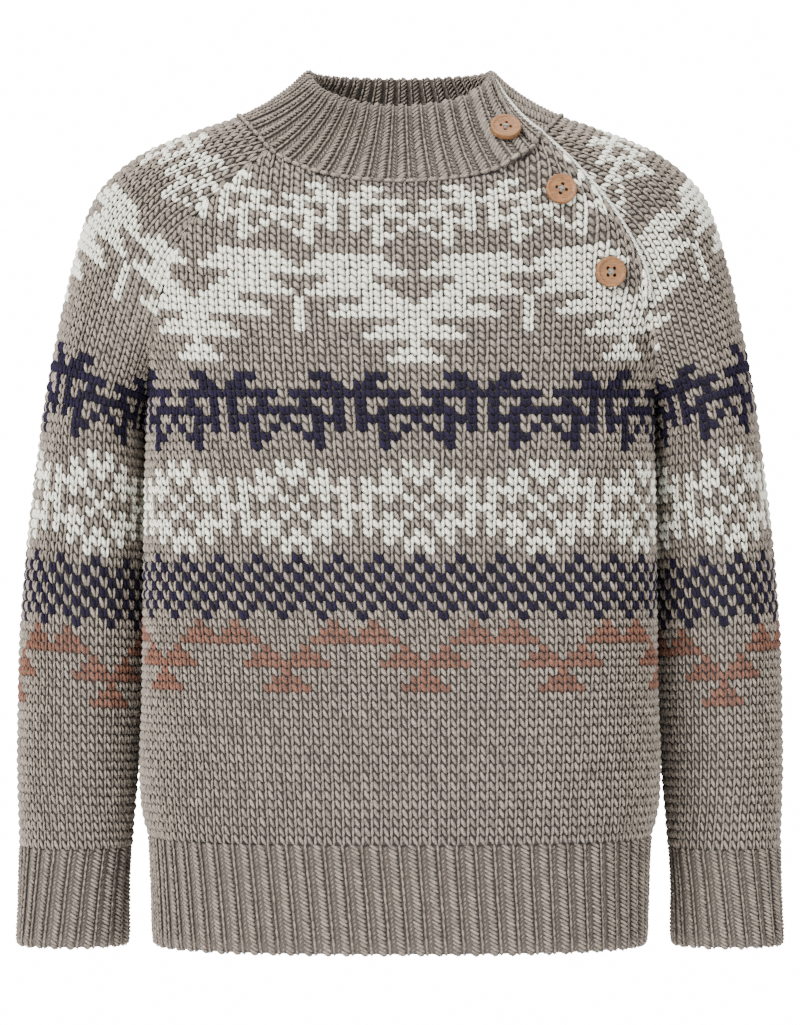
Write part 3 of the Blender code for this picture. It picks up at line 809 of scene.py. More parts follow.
PLAIN_FULLNESS = 1.0
MOTIF_FULLNESS = 1.16
STITCH_SWAY = 0.022
STITCH_SAG = 0.035
STITCH_LIFT = 0.09
STITCH_PLUMPNESS = 0.07
STITCH_TONE = 0.22
EDGE_OVERHANG = 0.32
LEFT_LEG = LegStyle(
    (
        (-0.45, -0.14, -1.2), (-0.38, 0.10, -0.6), (-0.205, 0.50, -0.2),
        (-0.03, 0.90, -0.55), (0.08, 1.18, -1.25),
    ),
    (0.185, 0.25, 0.185),
    (0.85, 1.05, 0.85),
)
RIGHT_LEG = LegStyle(
    ((0.33, -0.25, -1.1), (0.33, 0.08, -0.6), (0.305, 0.50, -0.3), (0.27, 0.92, -0.55), (0.21, 1.25, -1.1)),
    (0.14, 0.175, 0.14),
    (0.8, 0.95, 0.8),
)
RIB_HATCH = LegStyle(
    ((-0.41, -0.15, -1.4), (-0.32, 0.15, -0.5), (-0.15, 0.65, -0.1), (0.02, 1.15, -0.25), (0.10, 1.45, -1.2)),
    (0.085, 0.115, 0.085),
    (0.8, 1.0, 0.8),
)
RIB_STRAND = LegStyle(
    (
        (0.195, -0.45, -0.9), (0.22, 0.25, -0.45), (0.235, 1.0, -0.25),
        (0.22, 1.75, -0.45), (0.195, 2.45, -0.9),
    ),
    (0.07, 0.085, 0.07),
    (0.85, 0.95, 0.85),
)
RIB_SHORT_STRAND = LegStyle(
    ((0.20, -0.45, -0.9), (0.22, 0.05, -0.4), (0.235, 0.5, -0.25), (0.22, 0.95, -0.4), (0.20, 1.45, -0.9)),
    (0.075, 0.09, 0.075),
    (0.85, 0.95, 0.85),
)
RIB_PURL = LegStyle(
    ((0.37, 1.1, -1.6), (0.42, 0.8, -1.0), (0.47, 0.5, -0.85), (0.52, 0.2, -1.0), (0.57, -0.1, -1.6)),
    (0.05, 0.07, 0.05),
    (0.6, 0.75, 0.6),
)
SEAM_LINK = LegStyle(
    ((-0.60, 0.46, -0.1), (-0.32, 0.27, 0.9), (0.0, 0.03, 1.3), (0.32, -0.20, 0.9), (0.60, -0.38, -0.1)),
    (0.21, 0.26, 0.21),
    (0.85, 1.0, 0.85),
)

LEG_POINTS = 11
LEG_ALONG = np.array((0.0, 0.2, 0.2, 0.2, 0.5, 0.5, 0.5, 0.8, 0.8, 0.8, 1.0))
LEG_ACROSS = np.array((0.5, 0.0, 0.5, 1.0, 0.0, 0.5, 1.0, 0.0, 0.5, 1.0, 0.5))
# The crest weights the painted shade: low at a leg's sides and ends, where its yarn takes the painted gap
# shade, full at its ridge.
LEG_CREST = np.array((0.0, 0.12, 0.85, 0.12, 0.2, 1.0, 0.2, 0.12, 0.85, 0.12, 0.0))


def leg_faces() -> np.ndarray:
    """The triangles of one leg, as numbers of its eleven points."""
    faces = []
    for k in range(3):
        following = (k + 1) % 3
        faces.append((0, 1 + k, 1 + following))
        faces.append((10, 7 + following, 7 + k))
        for ring in (1, 4):
            a = ring + k
            b = ring + following
            faces.append((a, a + 3, b + 3))
            faces.append((a, b + 3, b))
    return np.array(faces)


@dataclass
class YarnMesh:
    """The legs of one yarn on one piece, gathered into a single mesh."""

    points: list[np.ndarray] = field(default_factory=list)
    tones: list[np.ndarray] = field(default_factory=list)

    def add(self, lattice: Lattice, rows: np.ndarray, wales: np.ndarray, style: LegStyle,
            rng: np.random.Generator, loose: float = 1.0) -> None:
        """Lay a leg of yarn on each of a set of stitches.

        Args:
            lattice: Where the stitches lie.
            rows: Each stitch's row.
            wales: Each stitch's wale.
            style: The leg's form.
            rng: The source of the stitches' small differences.
            loose: How uneven the stitches are, 1 for plain knitting.
        """
        count = len(rows)
        if count == 0:
            return
        sway = rng.normal(0.0, STITCH_SWAY * loose, count)
        sag = rng.normal(0.0, STITCH_SAG * loose, count)
        lift = rng.normal(0.0, STITCH_LIFT * loose, count)
        plump = 1 + rng.normal(0.0, STITCH_PLUMPNESS * loose, count)
        stitch_pitch = lattice.read(lattice.pitch, rows + 0.5, wales)
        centres = []
        normals = []
        for across, down, height in style.path:
            place = (rows + down + sag, wales + (across + sway) * lattice.turn)
            normal = unit(lattice.read(lattice.normals, *place))
            centres.append(lattice.read(lattice.points, *place) + normal * (height + lift)[:, None])
            normals.append(normal)
        points = np.zeros((count, LEG_POINTS, 3))
        points[:, 0] = centres[0]
        points[:, 10] = centres[4]
        for ring in range(3):
            centre = centres[ring + 1]
            normal = normals[ring + 1]
            heading = unit(centres[ring + 2] - centres[ring])
            aside = unit(np.cross(heading, normal))
            width = (style.half_widths[ring] * stitch_pitch * plump)[:, None]
            crown = (style.crowns[ring] * plump)[:, None]
            points[:, 1 + 3 * ring] = centre - aside * width
            points[:, 2 + 3 * ring] = centre + normal * crown
            points[:, 3 + 3 * ring] = centre + aside * width
        self.points.append(points)
        self.tones.append(np.clip(0.5 + rng.normal(0.0, STITCH_TONE, count), 0.0, 1.0))

    def build(self, name: str, material: bpy.types.Material, slot: str) -> bpy.types.Object:
        """Make the mesh.

        Args:
            name: The piece's name.
            material: Its yarn.
            slot: The record's material slot; not used.

        Returns:
            The piece.
        """
        points = np.concatenate(self.points)
        tones = np.repeat(np.concatenate(self.tones), LEG_POINTS)
        count = len(points)
        faces = (leg_faces()[None] + (np.arange(count) * LEG_POINTS)[:, None, None]).reshape(-1, 3)
        values = {"crest": np.tile(LEG_CREST, count), "tone": tones}
        uv = np.stack((np.tile(LEG_ALONG, count), np.tile(LEG_ACROSS, count)), axis=1)
        item = mesh_piece(name, points.reshape(-1, 3), faces, material, values, uv)
        return item


def mesh_piece(name: str, points: np.ndarray, faces: np.ndarray, material: bpy.types.Material,
               values: dict[str, np.ndarray] | None = None, uv: np.ndarray | None = None) -> bpy.types.Object:
    """Make a piece from points in millimetres and let it ride on the garment.

    Args:
        name: The piece's name.
        points: Its points.
        faces: Its faces, all with the same number of corners.
        material: Its finish.
        values: Numbers on its points, by name.
        uv: Flat places of its points.

    Returns:
        The piece.
    """
    mesh = bpy.data.meshes.new(name)
    corners = faces.shape[1]
    mesh.vertices.add(len(points))
    mesh.vertices.foreach_set("co", (points * MM).astype(np.float32).ravel())
    mesh.loops.add(faces.size)
    mesh.loops.foreach_set("vertex_index", faces.astype(np.int32).ravel())
    mesh.polygons.add(len(faces))
    mesh.polygons.foreach_set("loop_start", np.arange(0, faces.size, corners, dtype=np.int32))
    mesh.update(calc_edges=True)
    for key, numbers in (values or {}).items():
        attribute = mesh.attributes.new(key, "FLOAT", "POINT")
        attribute.data.foreach_set("value", numbers.astype(np.float32))
    if uv is not None:
        layer = mesh.uv_layers.new(name="UVMap")
        layer.data.foreach_set("uv", uv[faces.ravel()].astype(np.float32).ravel())
    mesh.shade_smooth()
    mesh.materials.append(material)
    item = bpy.data.objects.new(name, mesh)
    bpy.context.scene.collection.objects.link(item)
    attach(item, ROOT)
    return item


def cloth_shell(name: str, outer: np.ndarray, inner: np.ndarray, closed_rows: np.ndarray,
                material: bpy.types.Material) -> bpy.types.Object:
    """Close the wall of cloth between two grids of points.

    Args:
        name: The piece's name.
        outer: The grid of its face.
        inner: The grid of its inside.
        closed_rows: Which rows join their last point to the first.
        material: Its finish.

    Returns:
        The closed piece.
    """
    rows, columns = outer.shape[:2]
    index = np.zeros((2, rows, columns), dtype=int)
    points = []
    for layer, grid in enumerate((outer, inner)):
        for i in range(rows):
            last = columns - 1 if closed_rows[i] else columns
            index[layer, i, :last] = np.arange(last) + len(points)
            points.extend(grid[i, :last])
            if closed_rows[i]:
                index[layer, i, -1] = index[layer, i, 0]
    quads = []
    for layer, turn in ((0, 1), (1, -1)):
        corners = (index[layer, :-1, :-1], index[layer, :-1, 1:], index[layer, 1:, 1:], index[layer, 1:, :-1])
        quads.append(np.stack(corners[::turn], axis=-1).reshape(-1, 4))
    for i, turn in ((0, -1), (rows - 1, 1)):
        corners = (index[0, i, :-1], index[0, i, 1:], index[1, i, 1:], index[1, i, :-1])
        quads.append(np.stack(corners[::turn], axis=-1))
    for i in range(rows - 1):
        if not (closed_rows[i] and closed_rows[i + 1]):
            for j, turn in ((0, 1), (columns - 1, -1)):
                corners = (index[0, i, j], index[0, i + 1, j], index[1, i + 1, j], index[1, i, j])
                quads.append(np.array([corners[::turn]]))
    item = mesh_piece(name, np.array(points), np.concatenate(quads), material)
    turn_outward(item)
    return item


def turn_outward(item: bpy.types.Object) -> None:
    """Clean a closed piece and turn its faces outward."""
    work = bmesh.new()
    work.from_mesh(item.data)
    bmesh.ops.dissolve_degenerate(work, dist=1e-7, edges=work.edges)
    bmesh.ops.recalc_face_normals(work, faces=work.faces)
    if work.calc_volume(signed=True) < 0:
        bmesh.ops.reverse_faces(work, faces=work.faces)
    work.to_mesh(item.data)
    work.free()


def tube(line: np.ndarray, radius: float, sides: int) -> tuple[np.ndarray, np.ndarray]:
    """Draw a closed tube round a line.

    Args:
        line: The line's points.
        radius: The tube's radius.
        sides: How many sides it has.

    Returns:
        The tube's points, ring by ring and then its two ends, and its triangles.
    """
    heading = unit(np.gradient(line, axis=0))
    side = unit(np.cross(heading, np.array((0.0, -1.0, 0.0))))
    up = np.cross(side, heading)
    angle = 2 * math.pi * np.arange(sides) / sides
    spread = side[:, None] * np.cos(angle)[None, :, None] + up[:, None] * np.sin(angle)[None, :, None]
    rings = line[:, None] + spread * radius
    points = np.concatenate((rings.reshape(-1, 3), line[:1], line[-1:]))
    ring = np.arange(len(line) - 1)[:, None] * sides
    k = np.arange(sides)[None]
    after = (k + 1) % sides
    lower = np.stack((ring + k, ring + after, ring + sides + after), axis=-1).reshape(-1, 3)
    upper = np.stack((ring + k, ring + sides + after, ring + sides + k), axis=-1).reshape(-1, 3)
    first = np.stack((np.full(sides, len(points) - 2), after[0], k[0]), axis=-1)
    base = (len(line) - 1) * sides
    last = np.stack((np.full(sides, len(points) - 1), base + k[0], base + after[0]), axis=-1)
    return points, np.concatenate((lower, upper, first, last))


def joined(parts: list[tuple[np.ndarray, np.ndarray]]) -> tuple[np.ndarray, np.ndarray]:
    """Join the points and faces of several meshes.

    Args:
        parts: Each mesh's points and its faces.

    Returns:
        All the points, and all the faces numbered to match.
    """
    points = []
    faces = []
    start = 0
    for part_points, part_faces in parts:
        points.append(part_points)
        faces.append(part_faces + start)
        start += len(part_points)
    return np.concatenate(points), np.concatenate(faces)


class Value:
    """A socket that Python's arithmetic works on."""

    def __init__(self, sheet: "ShaderSheet", socket: bpy.types.NodeSocket) -> None:
        """Keep the socket and the sheet that it is on."""
        self.sheet = sheet
        self.socket = socket

    def __add__(self, other: "Value | float") -> "Value":
        """Sum of two values."""
        return self.sheet.math("ADD", self, other)

    def __radd__(self, other: float) -> "Value":
        """Sum with a number in front."""
        return self.sheet.math("ADD", other, self)

    def __sub__(self, other: "Value | float") -> "Value":
        """Difference of two values."""
        return self.sheet.math("SUBTRACT", self, other)

    def __rsub__(self, other: float) -> "Value":
        """Difference from a number in front."""
        return self.sheet.math("SUBTRACT", other, self)

    def __mul__(self, other: "Value | float") -> "Value":
        """Product of two values."""
        return self.sheet.math("MULTIPLY", self, other)

    def __rmul__(self, other: float) -> "Value":
        """Product with a number in front."""
        return self.sheet.math("MULTIPLY", other, self)

    def __pow__(self, other: float) -> "Value":
        """The value to a power."""
        return self.sheet.math("POWER", self, other)

    def sine(self) -> "Value":
        """Sine of the value."""
        return self.sheet.math("SINE", self)

    def held(self) -> "Value":
        """The value held between 0 and 1."""
        return self.sheet.math("MINIMUM", self.sheet.math("MAXIMUM", self, 0.0), 1.0)


class ShaderSheet:
    """The nodes of one material, added through one method."""

    def __init__(self, name: str) -> None:
        """Start an empty material with its output."""
        self.material = bpy.data.materials.new(name)
        self.material.use_nodes = True
        self.tree = self.material.node_tree
        self.tree.nodes.clear()
        self.output = self.tree.nodes.new("ShaderNodeOutputMaterial")

    def node(self, kind: str, settings: dict | None = None, inputs: dict | None = None) -> bpy.types.Node:
        """Add a node.

        Args:
            kind: The node's type.
            settings: Its own settings, set first.
            inputs: Values or links of its sockets, by name or number.

        Returns:
            The node.
        """
        made = self.tree.nodes.new(kind)
        for name, setting in (settings or {}).items():
            setattr(made, name, setting)
        for key, given in (inputs or {}).items():
            socket = made.inputs[key]
            if isinstance(given, Value):
                self.tree.links.new(given.socket, socket)
            else:
                socket.default_value = given
        return made

    def math(self, operation: str, first: Value | float, second: Value | float = 0.0) -> Value:
        """Add a Math node on one or two values."""
        made = self.node("ShaderNodeMath", {"operation": operation}, {0: first, 1: second})
        return Value(self, made.outputs[0])

    def mix(self, share: Value | float, first: Value | Colour, second: Value | Colour) -> Value:
        """Mix two colours by a share of the second."""
        colours = [c if isinstance(c, Value) else (*c, 1.0) for c in (first, second)]
        made = self.node("ShaderNodeMix", {"data_type": "RGBA"}, {0: share, 6: colours[0], 7: colours[1]})
        return Value(self, made.outputs[2])

    def attribute(self, name: str) -> Value:
        """Read a number kept on the mesh."""
        made = self.node("ShaderNodeAttribute", {"attribute_name": name})
        return Value(self, made.outputs["Fac"])

    def uv(self) -> tuple[Value, Value]:
        """Read the two parts of the UV map."""
        coordinates = self.node("ShaderNodeUVMap", {"uv_map": "UVMap"})
        split = self.node("ShaderNodeSeparateXYZ", {}, {0: Value(self, coordinates.outputs[0])})
        return Value(self, split.outputs[0]), Value(self, split.outputs[1])

    def place(self) -> Value:
        """Read the place on the object."""
        return Value(self, self.node("ShaderNodeTexCoord").outputs["Object"])

    def vector(self, x: Value | float, y: Value | float, z: Value | float) -> Value:
        """Join three values into a vector."""
        made = self.node("ShaderNodeCombineXYZ", {}, {0: x, 1: y, 2: z})
        return Value(self, made.outputs[0])

    def noise(self, where: Value, scale: float, detail: float = 2.0) -> Value:
        """Cloudy noise between 0 and 1."""
        made = self.node("ShaderNodeTexNoise", {}, {"Vector": where, "Scale": scale, "Detail": detail})
        return Value(self, made.outputs["Fac"])

    def bump(self, height: Value, strength: float, distance: float) -> Value:
        """Turn a height into a normal."""
        made = self.node("ShaderNodeBump", {}, {"Height": height, "Strength": strength, "Distance": distance})
        return Value(self, made.outputs["Normal"])

    def surface(self, **inputs: Value | float | tuple) -> bpy.types.Material:
        """Finish the material with a Principled shader.

        Args:
            inputs: The shader's sockets, with underscores for spaces.

        Returns:
            The material.
        """
        sockets = {name.replace("_", " "): given for name, given in inputs.items()}
        shader = self.node("ShaderNodeBsdfPrincipled", {}, sockets)
        self.tree.links.new(shader.outputs[0], self.output.inputs[0])
        return self.material


def scaled(colour: Colour, share: float) -> Colour:
    """A colour made lighter or darker."""
    return tuple(min(1.0, part * share) for part in colour)


@dataclass(frozen=True)
class WoolYarn:
    """Soft melange wool, with painted shade where it dips between the stitches."""

    name: str
    colour: Colour
    painted_gap_shade: Colour
    melange: float
    sheen: float = 0.12

    def material(self) -> bpy.types.Material:
        """Make the yarn's material."""
        sheet = ShaderSheet(self.name)
        crest = sheet.attribute("crest")
        tone = sheet.attribute("tone")
        along, across = sheet.uv()
        twist = sheet.vector(along * 1.4 + tone * 31.0, across * 2.6 - along * 1.6, tone * 57.0)
        fibre = sheet.noise(twist, 3.2, 3.0)
        cloud = sheet.noise(sheet.place(), 750.0, 3.0)
        shade = (0.5 + (fibre - 0.5) * 3.0 + (tone - 0.5) * 0.9 + (cloud - 0.5) * 2.2).held()
        wool = sheet.mix(shade, scaled(self.colour, 1 - self.melange), scaled(self.colour, 1 + self.melange))
        # Painted shade: the gap colour takes over towards the leg's sides and ends.
        base = sheet.mix(((crest - 0.02) * 1.7).held(), self.painted_gap_shade, wool)
        plies = ((along * 3.0 + across * 1.3) * (2 * math.pi)).sine() * 0.5 + fibre
        return sheet.surface(
            Base_Color=base,
            Roughness=0.95,
            Specular_IOR_Level=0.2,
            Normal=sheet.bump(plies, 0.6, 0.0005),
            Sheen_Weight=self.sheen,
            Sheen_Roughness=0.5,
        )


@dataclass(frozen=True)
class ShadePaintedBacking:
    """The purl side and the ground seen between the stitches, coloured dark as painted shade."""

    name: str
    colour: Colour

    def material(self) -> bpy.types.Material:
        """Make the backing's material."""
        sheet = ShaderSheet(self.name)
        place = sheet.place()
        split = sheet.node("ShaderNodeSeparateXYZ", {}, {0: place})
        x, z = (Value(sheet, split.outputs[i]) for i in (0, 2))
        loops = (x * (2 * math.pi / 0.0048)).sine() * 0.5 + (z * (2 * math.pi / 0.0042)).sine()
        fleck = sheet.noise(place, 420.0, 3.0)
        base = sheet.mix(fleck, scaled(self.colour, 0.65), scaled(self.colour, 1.35))
        return sheet.surface(
            Base_Color=base,
            Roughness=0.95,
            Normal=sheet.bump(loops * 0.5 + fleck, 0.6, 0.0008),
            Sheen_Weight=0.15,
        )


@dataclass(frozen=True)
class TurnedWood:
    """Oiled light wood with a fine grain across the button."""

    name: str
    light: Colour
    dark: Colour

    def material(self) -> bpy.types.Material:
        """Make the wood's material."""
        sheet = ShaderSheet(self.name)
        place = sheet.place()
        along_grain = {0: place, "Rotation": (0.0, 0.35, 0.5), "Scale": (260.0, 260.0, 1500.0)}
        mapping = sheet.node("ShaderNodeMapping", {}, along_grain)
        grain = sheet.noise(Value(sheet, mapping.outputs[0]), 1.0, 5.0)
        fleck = sheet.noise(place, 900.0, 2.0)
        shade = ((grain - 0.5) * 2.2 + (fleck - 0.5) * 0.6 + 0.5).held()
        return sheet.surface(
            Base_Color=sheet.mix(shade, self.dark, self.light),
            Roughness=0.5 + 0.15 * grain,
            Specular_IOR_Level=0.3,
            Normal=sheet.bump(grain, 0.25, 0.0002),
            Coat_Weight=0.08,
        )


@dataclass(frozen=True)
class SewingThread:
    """Twisted grey thread."""

    name: str
    colour: Colour

    def material(self) -> bpy.types.Material:
        """Make the thread's material."""
        sheet = ShaderSheet(self.name)
        twist = sheet.noise(sheet.place(), 3500.0, 2.0)
        base = sheet.mix(twist, scaled(self.colour, 0.7), scaled(self.colour, 1.2))
        return sheet.surface(Base_Color=base, Roughness=0.8, Normal=sheet.bump(twist, 0.4, 0.0001))


@dataclass(frozen=True)
class StudioPaper:
    """Matt white paper under soft light."""

    name: str

    def material(self) -> bpy.types.Material:
        """Make the paper's material."""
        sheet = ShaderSheet(self.name)
        grain = sheet.noise(sheet.place(), 40.0, 2.0)
        base = sheet.mix(grain, (0.86, 0.86, 0.86), (0.9, 0.9, 0.9))
        return sheet.surface(
            Base_Color=base,
            Roughness=0.9,
            Emission_Color=(1.0, 1.0, 1.0, 1.0),
            Emission_Strength=0.35,
        )


@dataclass
class WoolBasket:
    """The materials of the knitting, made once and shared."""

    yarns: dict[Yarn, bpy.types.Material] = field(default_factory=dict)
    backing: bpy.types.Material | None = None
    rib_backing: bpy.types.Material | None = None
    rib: bpy.types.Material | None = None
    edging: bpy.types.Material | None = None

    def __post_init__(self) -> None:
        """Make each material."""
        self.yarns = {
            # Each yarn's second colour is painted shade for the dips between the stitches.
            Yarn.TAUPE: WoolYarn("wool_taupe", (0.215, 0.178, 0.143), (0.060, 0.047, 0.038), 0.42).material(),
            Yarn.WHITE: WoolYarn("wool_white", (0.725, 0.722, 0.615), (0.365, 0.345, 0.290), 0.14).material(),
            Yarn.NAVY: WoolYarn(
                "wool_navy", (0.0076, 0.0043, 0.0185), (0.0028, 0.0018, 0.007), 0.5, 0.02
            ).material(),
            Yarn.RUST: WoolYarn("wool_rust", (0.150, 0.062, 0.038), (0.048, 0.023, 0.016), 0.34).material(),
        }
        # Both backings are dark with painted shade for the gaps between the stitches and the collar's inside.
        self.backing = ShadePaintedBacking("wool_backing_painted_shade", (0.036, 0.028, 0.022)).material()
        self.rib_backing = ShadePaintedBacking("wool_rib_backing_painted_shade", (0.058, 0.046, 0.037)).material()
        # The rib yarn is a darker copy of the taupe, as painted shade for the rib's own shadow.
        self.rib = WoolYarn("wool_rib_taupe_shaded", (0.188, 0.154, 0.123), (0.053, 0.041, 0.033), 0.42).material()
        self.edging = WoolYarn("wool_cream_edging", (0.62, 0.60, 0.53), (0.3, 0.28, 0.24), 0.12).material()


def make_lattice(grid: np.ndarray, inside: np.ndarray, middle: np.ndarray, first_row: float,
                 first_wale: float, wale_step: float, turn: float) -> Lattice:
    """Make a lattice from its sampled points.

    Args:
        grid: Sampled points, run on past the piece's edges.
        inside: The same points, held within the edges.
        middle: A point or a line of points that the surface faces away from.
        first_row: The number of the first row.
        first_wale: The wale of the first column.
        wale_step: Wales from one column to the next.
        turn: 1 where the wales count to the right as seen from outside, or else -1.

    Returns:
        The lattice, with the creases in it.
    """
    grid = np.concatenate((grid, 2 * grid[-1:] - grid[-2:-1]))
    inside = np.concatenate((inside, 2 * inside[-1:] - inside[-2:-1]))
    normals = facing_out(grid_normals(grid), grid, middle)
    pitch = np.linalg.norm(np.gradient(grid, axis=1), axis=-1) / wale_step
    return Lattice(creased(inside, normals), normals, pitch, first_row, first_wale, wale_step, turn)


@dataclass
class BodyPanel:
    """The front or the back, knitted from the neckline down to the rib."""

    side: Side
    first_row: int
    reach: int = 40
    wale_step: float = 0.5
    edge_margin: float = 0.1

    def lattice(self) -> tuple[Lattice, dict[str, np.ndarray]]:
        """Lay out the panel's rows and wales.

        Returns:
            The lattice, and each row edge's wale pitch, shift, ends and level.
        """
        numbers = np.arange(self.first_row, BODY_ROW_END + 1)
        levels = BODY_ROWS.read("level", numbers.astype(float))
        wales = np.arange(-self.reach, self.reach + self.wale_step, self.wale_step)
        grids = {"run on": [], "inside": []}
        rises = []
        facts = {"pitch": [], "shift": [], "right": [], "left": [], "level": levels}
        for level in levels:
            station = station_of(self.side, level) if level > UNDERARM_LEVEL else None
            points, ways = full_course(self.side, station, level)
            pitch = float(BODY_WALES.read("pitch", level))
            shift = float(BODY_WALES.read("shift", level)) if self.side is Side.FRONT else 0.0
            wanted = shift + pitch * wales
            margin = self.edge_margin
            for name, ways_read in (
                ("run on", wanted),
                ("inside", np.clip(wanted, ways[0] + margin, ways[-1] - margin)),
            ):
                grids[name].append(at_ways(points, ways, ways_read))
            if self.side is Side.FRONT and station is not None:
                rises.append(flap_rise(np.full(len(wanted), station), ways[-1] - wanted))
            else:
                rises.append(np.zeros(len(wanted)))
            facts["pitch"].append(pitch)
            facts["shift"].append(shift)
            facts["right"].append(ways[0])
            facts["left"].append(ways[-1])
        turn = 1.0 if self.side is Side.FRONT else -1.0
        plain = np.array(grids["run on"])
        lift = facing_out(grid_normals(plain), plain, BODY_MIDDLE) * np.array(rises)[..., None]
        made = make_lattice(plain + lift, np.array(grids["inside"]) + lift, BODY_MIDDLE,
                            self.first_row, -self.reach, self.wale_step, turn)
        return made, {name: np.array(numbers) for name, numbers in facts.items()}

    def stitches(self) -> tuple[Lattice, np.ndarray, np.ndarray]:
        """Find which stitches the panel holds.

        Returns:
            The lattice, and the row and wale of each stitch.
        """
        lattice, facts = self.lattice()
        middles = {name: (numbers[:-1] + numbers[1:]) / 2 for name, numbers in facts.items()}
        rows = []
        wales = []
        every_wale = np.arange(-self.reach + 1, self.reach)
        for i in range(len(middles["pitch"])):
            ways = middles["shift"][i] + middles["pitch"][i] * every_wale
            beyond = EDGE_OVERHANG * middles["pitch"][i]
            keep = (ways < middles["left"][i] + beyond) & (ways > middles["right"][i] - beyond)
            if self.side is Side.FRONT:
                share = np.where(ways > 0, ways / middles["left"][i], ways / middles["right"][i])
                neckline = FRONT_NECK_COURSE + (YOKE.rows[0][1] - FRONT_NECK_COURSE) * share**2
                keep &= middles["level"][i] < neckline + 0.5
            rows.append(np.full(keep.sum(), self.first_row + i))
            wales.append(every_wale[keep])
        return lattice, np.concatenate(rows), np.concatenate(wales)


@dataclass
class SleevePanel:
    """One sleeve, knitted from the collar down to the cuff."""

    left: bool
    reach: int = 30
    wale_step: float = 0.5
    edge_margin: float = 0.1

    def lattice(self) -> tuple[Lattice, dict[str, np.ndarray]]:
        """Lay out the sleeve's rows and wales.

        Returns:
            The lattice, and each row edge's wale pitch, shift and ends.
        """
        stations = SLEEVE_ROWS.read("station", np.arange(SLEEVE_ROW_END + 1.0))
        wales = np.arange(-self.reach, self.reach + self.wale_step, self.wale_step)
        run_on = []
        inside = []
        facts = {"pitch": [], "shift": [], "front": [], "back": []}
        for station in stations:
            course = sleeve_course(station)
            ways = lengths_along(course)
            middle = np.interp((DENSE - 1) / 2, np.arange(DENSE), ways)
            ways = ways - middle
            start = ways[0]
            if self.left and station < UNDERARM_STATION:
                start += float(OPENING.read("seam_shift", station))
            pitch = float(SLEEVE_WALES.read("pitch", station))
            shift = LEFT_SLEEVE_SHIFT if self.left else RIGHT_SLEEVE_SHIFT
            wanted = shift + pitch * wales
            run_on.append(at_ways(course, ways, wanted))
            held = np.clip(wanted, start + self.edge_margin, ways[-1] - self.edge_margin)
            inside.append(at_ways(course, ways, held))
            facts["pitch"].append(pitch)
            facts["shift"].append(shift)
            facts["front"].append(start)
            facts["back"].append(ways[-1])
        run_on = np.array(run_on)
        inside = np.array(inside)
        turn = 1.0
        if not self.left:
            run_on = mirrored(run_on)
            inside = mirrored(inside)
            turn = -1.0
        middle = run_on[:, self.reach:-self.reach].mean(axis=1, keepdims=True)
        middle = np.concatenate((middle, middle[-1:]))
        made = make_lattice(run_on, inside, middle, 0, -self.reach, self.wale_step, turn)
        return made, {name: np.array(numbers) for name, numbers in facts.items()}

    def stitches(self) -> tuple[Lattice, np.ndarray, np.ndarray]:
        """Find which stitches the sleeve holds.

        Returns:
            The lattice, and the row and wale of each stitch.
        """
        lattice, facts = self.lattice()
        middles = {name: (numbers[:-1] + numbers[1:]) / 2 for name, numbers in facts.items()}
        rows = []
        wales = []
        every_wale = np.arange(-self.reach + 1, self.reach)
        for i in range(SLEEVE_ROW_END):
            ways = middles["shift"][i] + middles["pitch"][i] * every_wale
            beyond = EDGE_OVERHANG * middles["pitch"][i]
            keep = (ways < middles["back"][i] + beyond) & (ways > middles["front"][i] - beyond)
            rows.append(np.full(keep.sum(), i))
            wales.append(every_wale[keep])
        return lattice, np.concatenate(rows), np.concatenate(wales)


def knit(name: str, panel: BodyPanel | SleevePanel, plan: BandPlan, basket: WoolBasket,
         rng: np.random.Generator) -> list[bpy.types.Object]:
    """Knit a panel's stitches, one piece for each of its yarns.

    Args:
        name: The panel's name.
        panel: The panel.
        plan: Its bands.
        basket: The yarns.
        rng: The source of the stitches' small differences.

    Returns:
        The pieces.
    """
    lattice, rows, wales = panel.stitches()
    yarns = np.array([plan.yarn_at(int(r), int(w)).value for r, w in zip(rows, wales)])
    made = []
    for yarn in Yarn:
        chosen = yarns == yarn.value
        if not chosen.any():
            continue
        mesh = YarnMesh()
        fullness = PLAIN_FULLNESS if yarn is Yarn.TAUPE else MOTIF_FULLNESS
        for style in (LEFT_LEG, RIGHT_LEG):
            full = replace(style, half_widths=tuple(width * fullness for width in style.half_widths))
            mesh.add(lattice, rows[chosen].astype(float), wales[chosen].astype(float), full, rng)
        made.append(mesh.build(f"{name}_{yarn.value}_stitches", basket.yarns[yarn], "wool_body"))
    return made


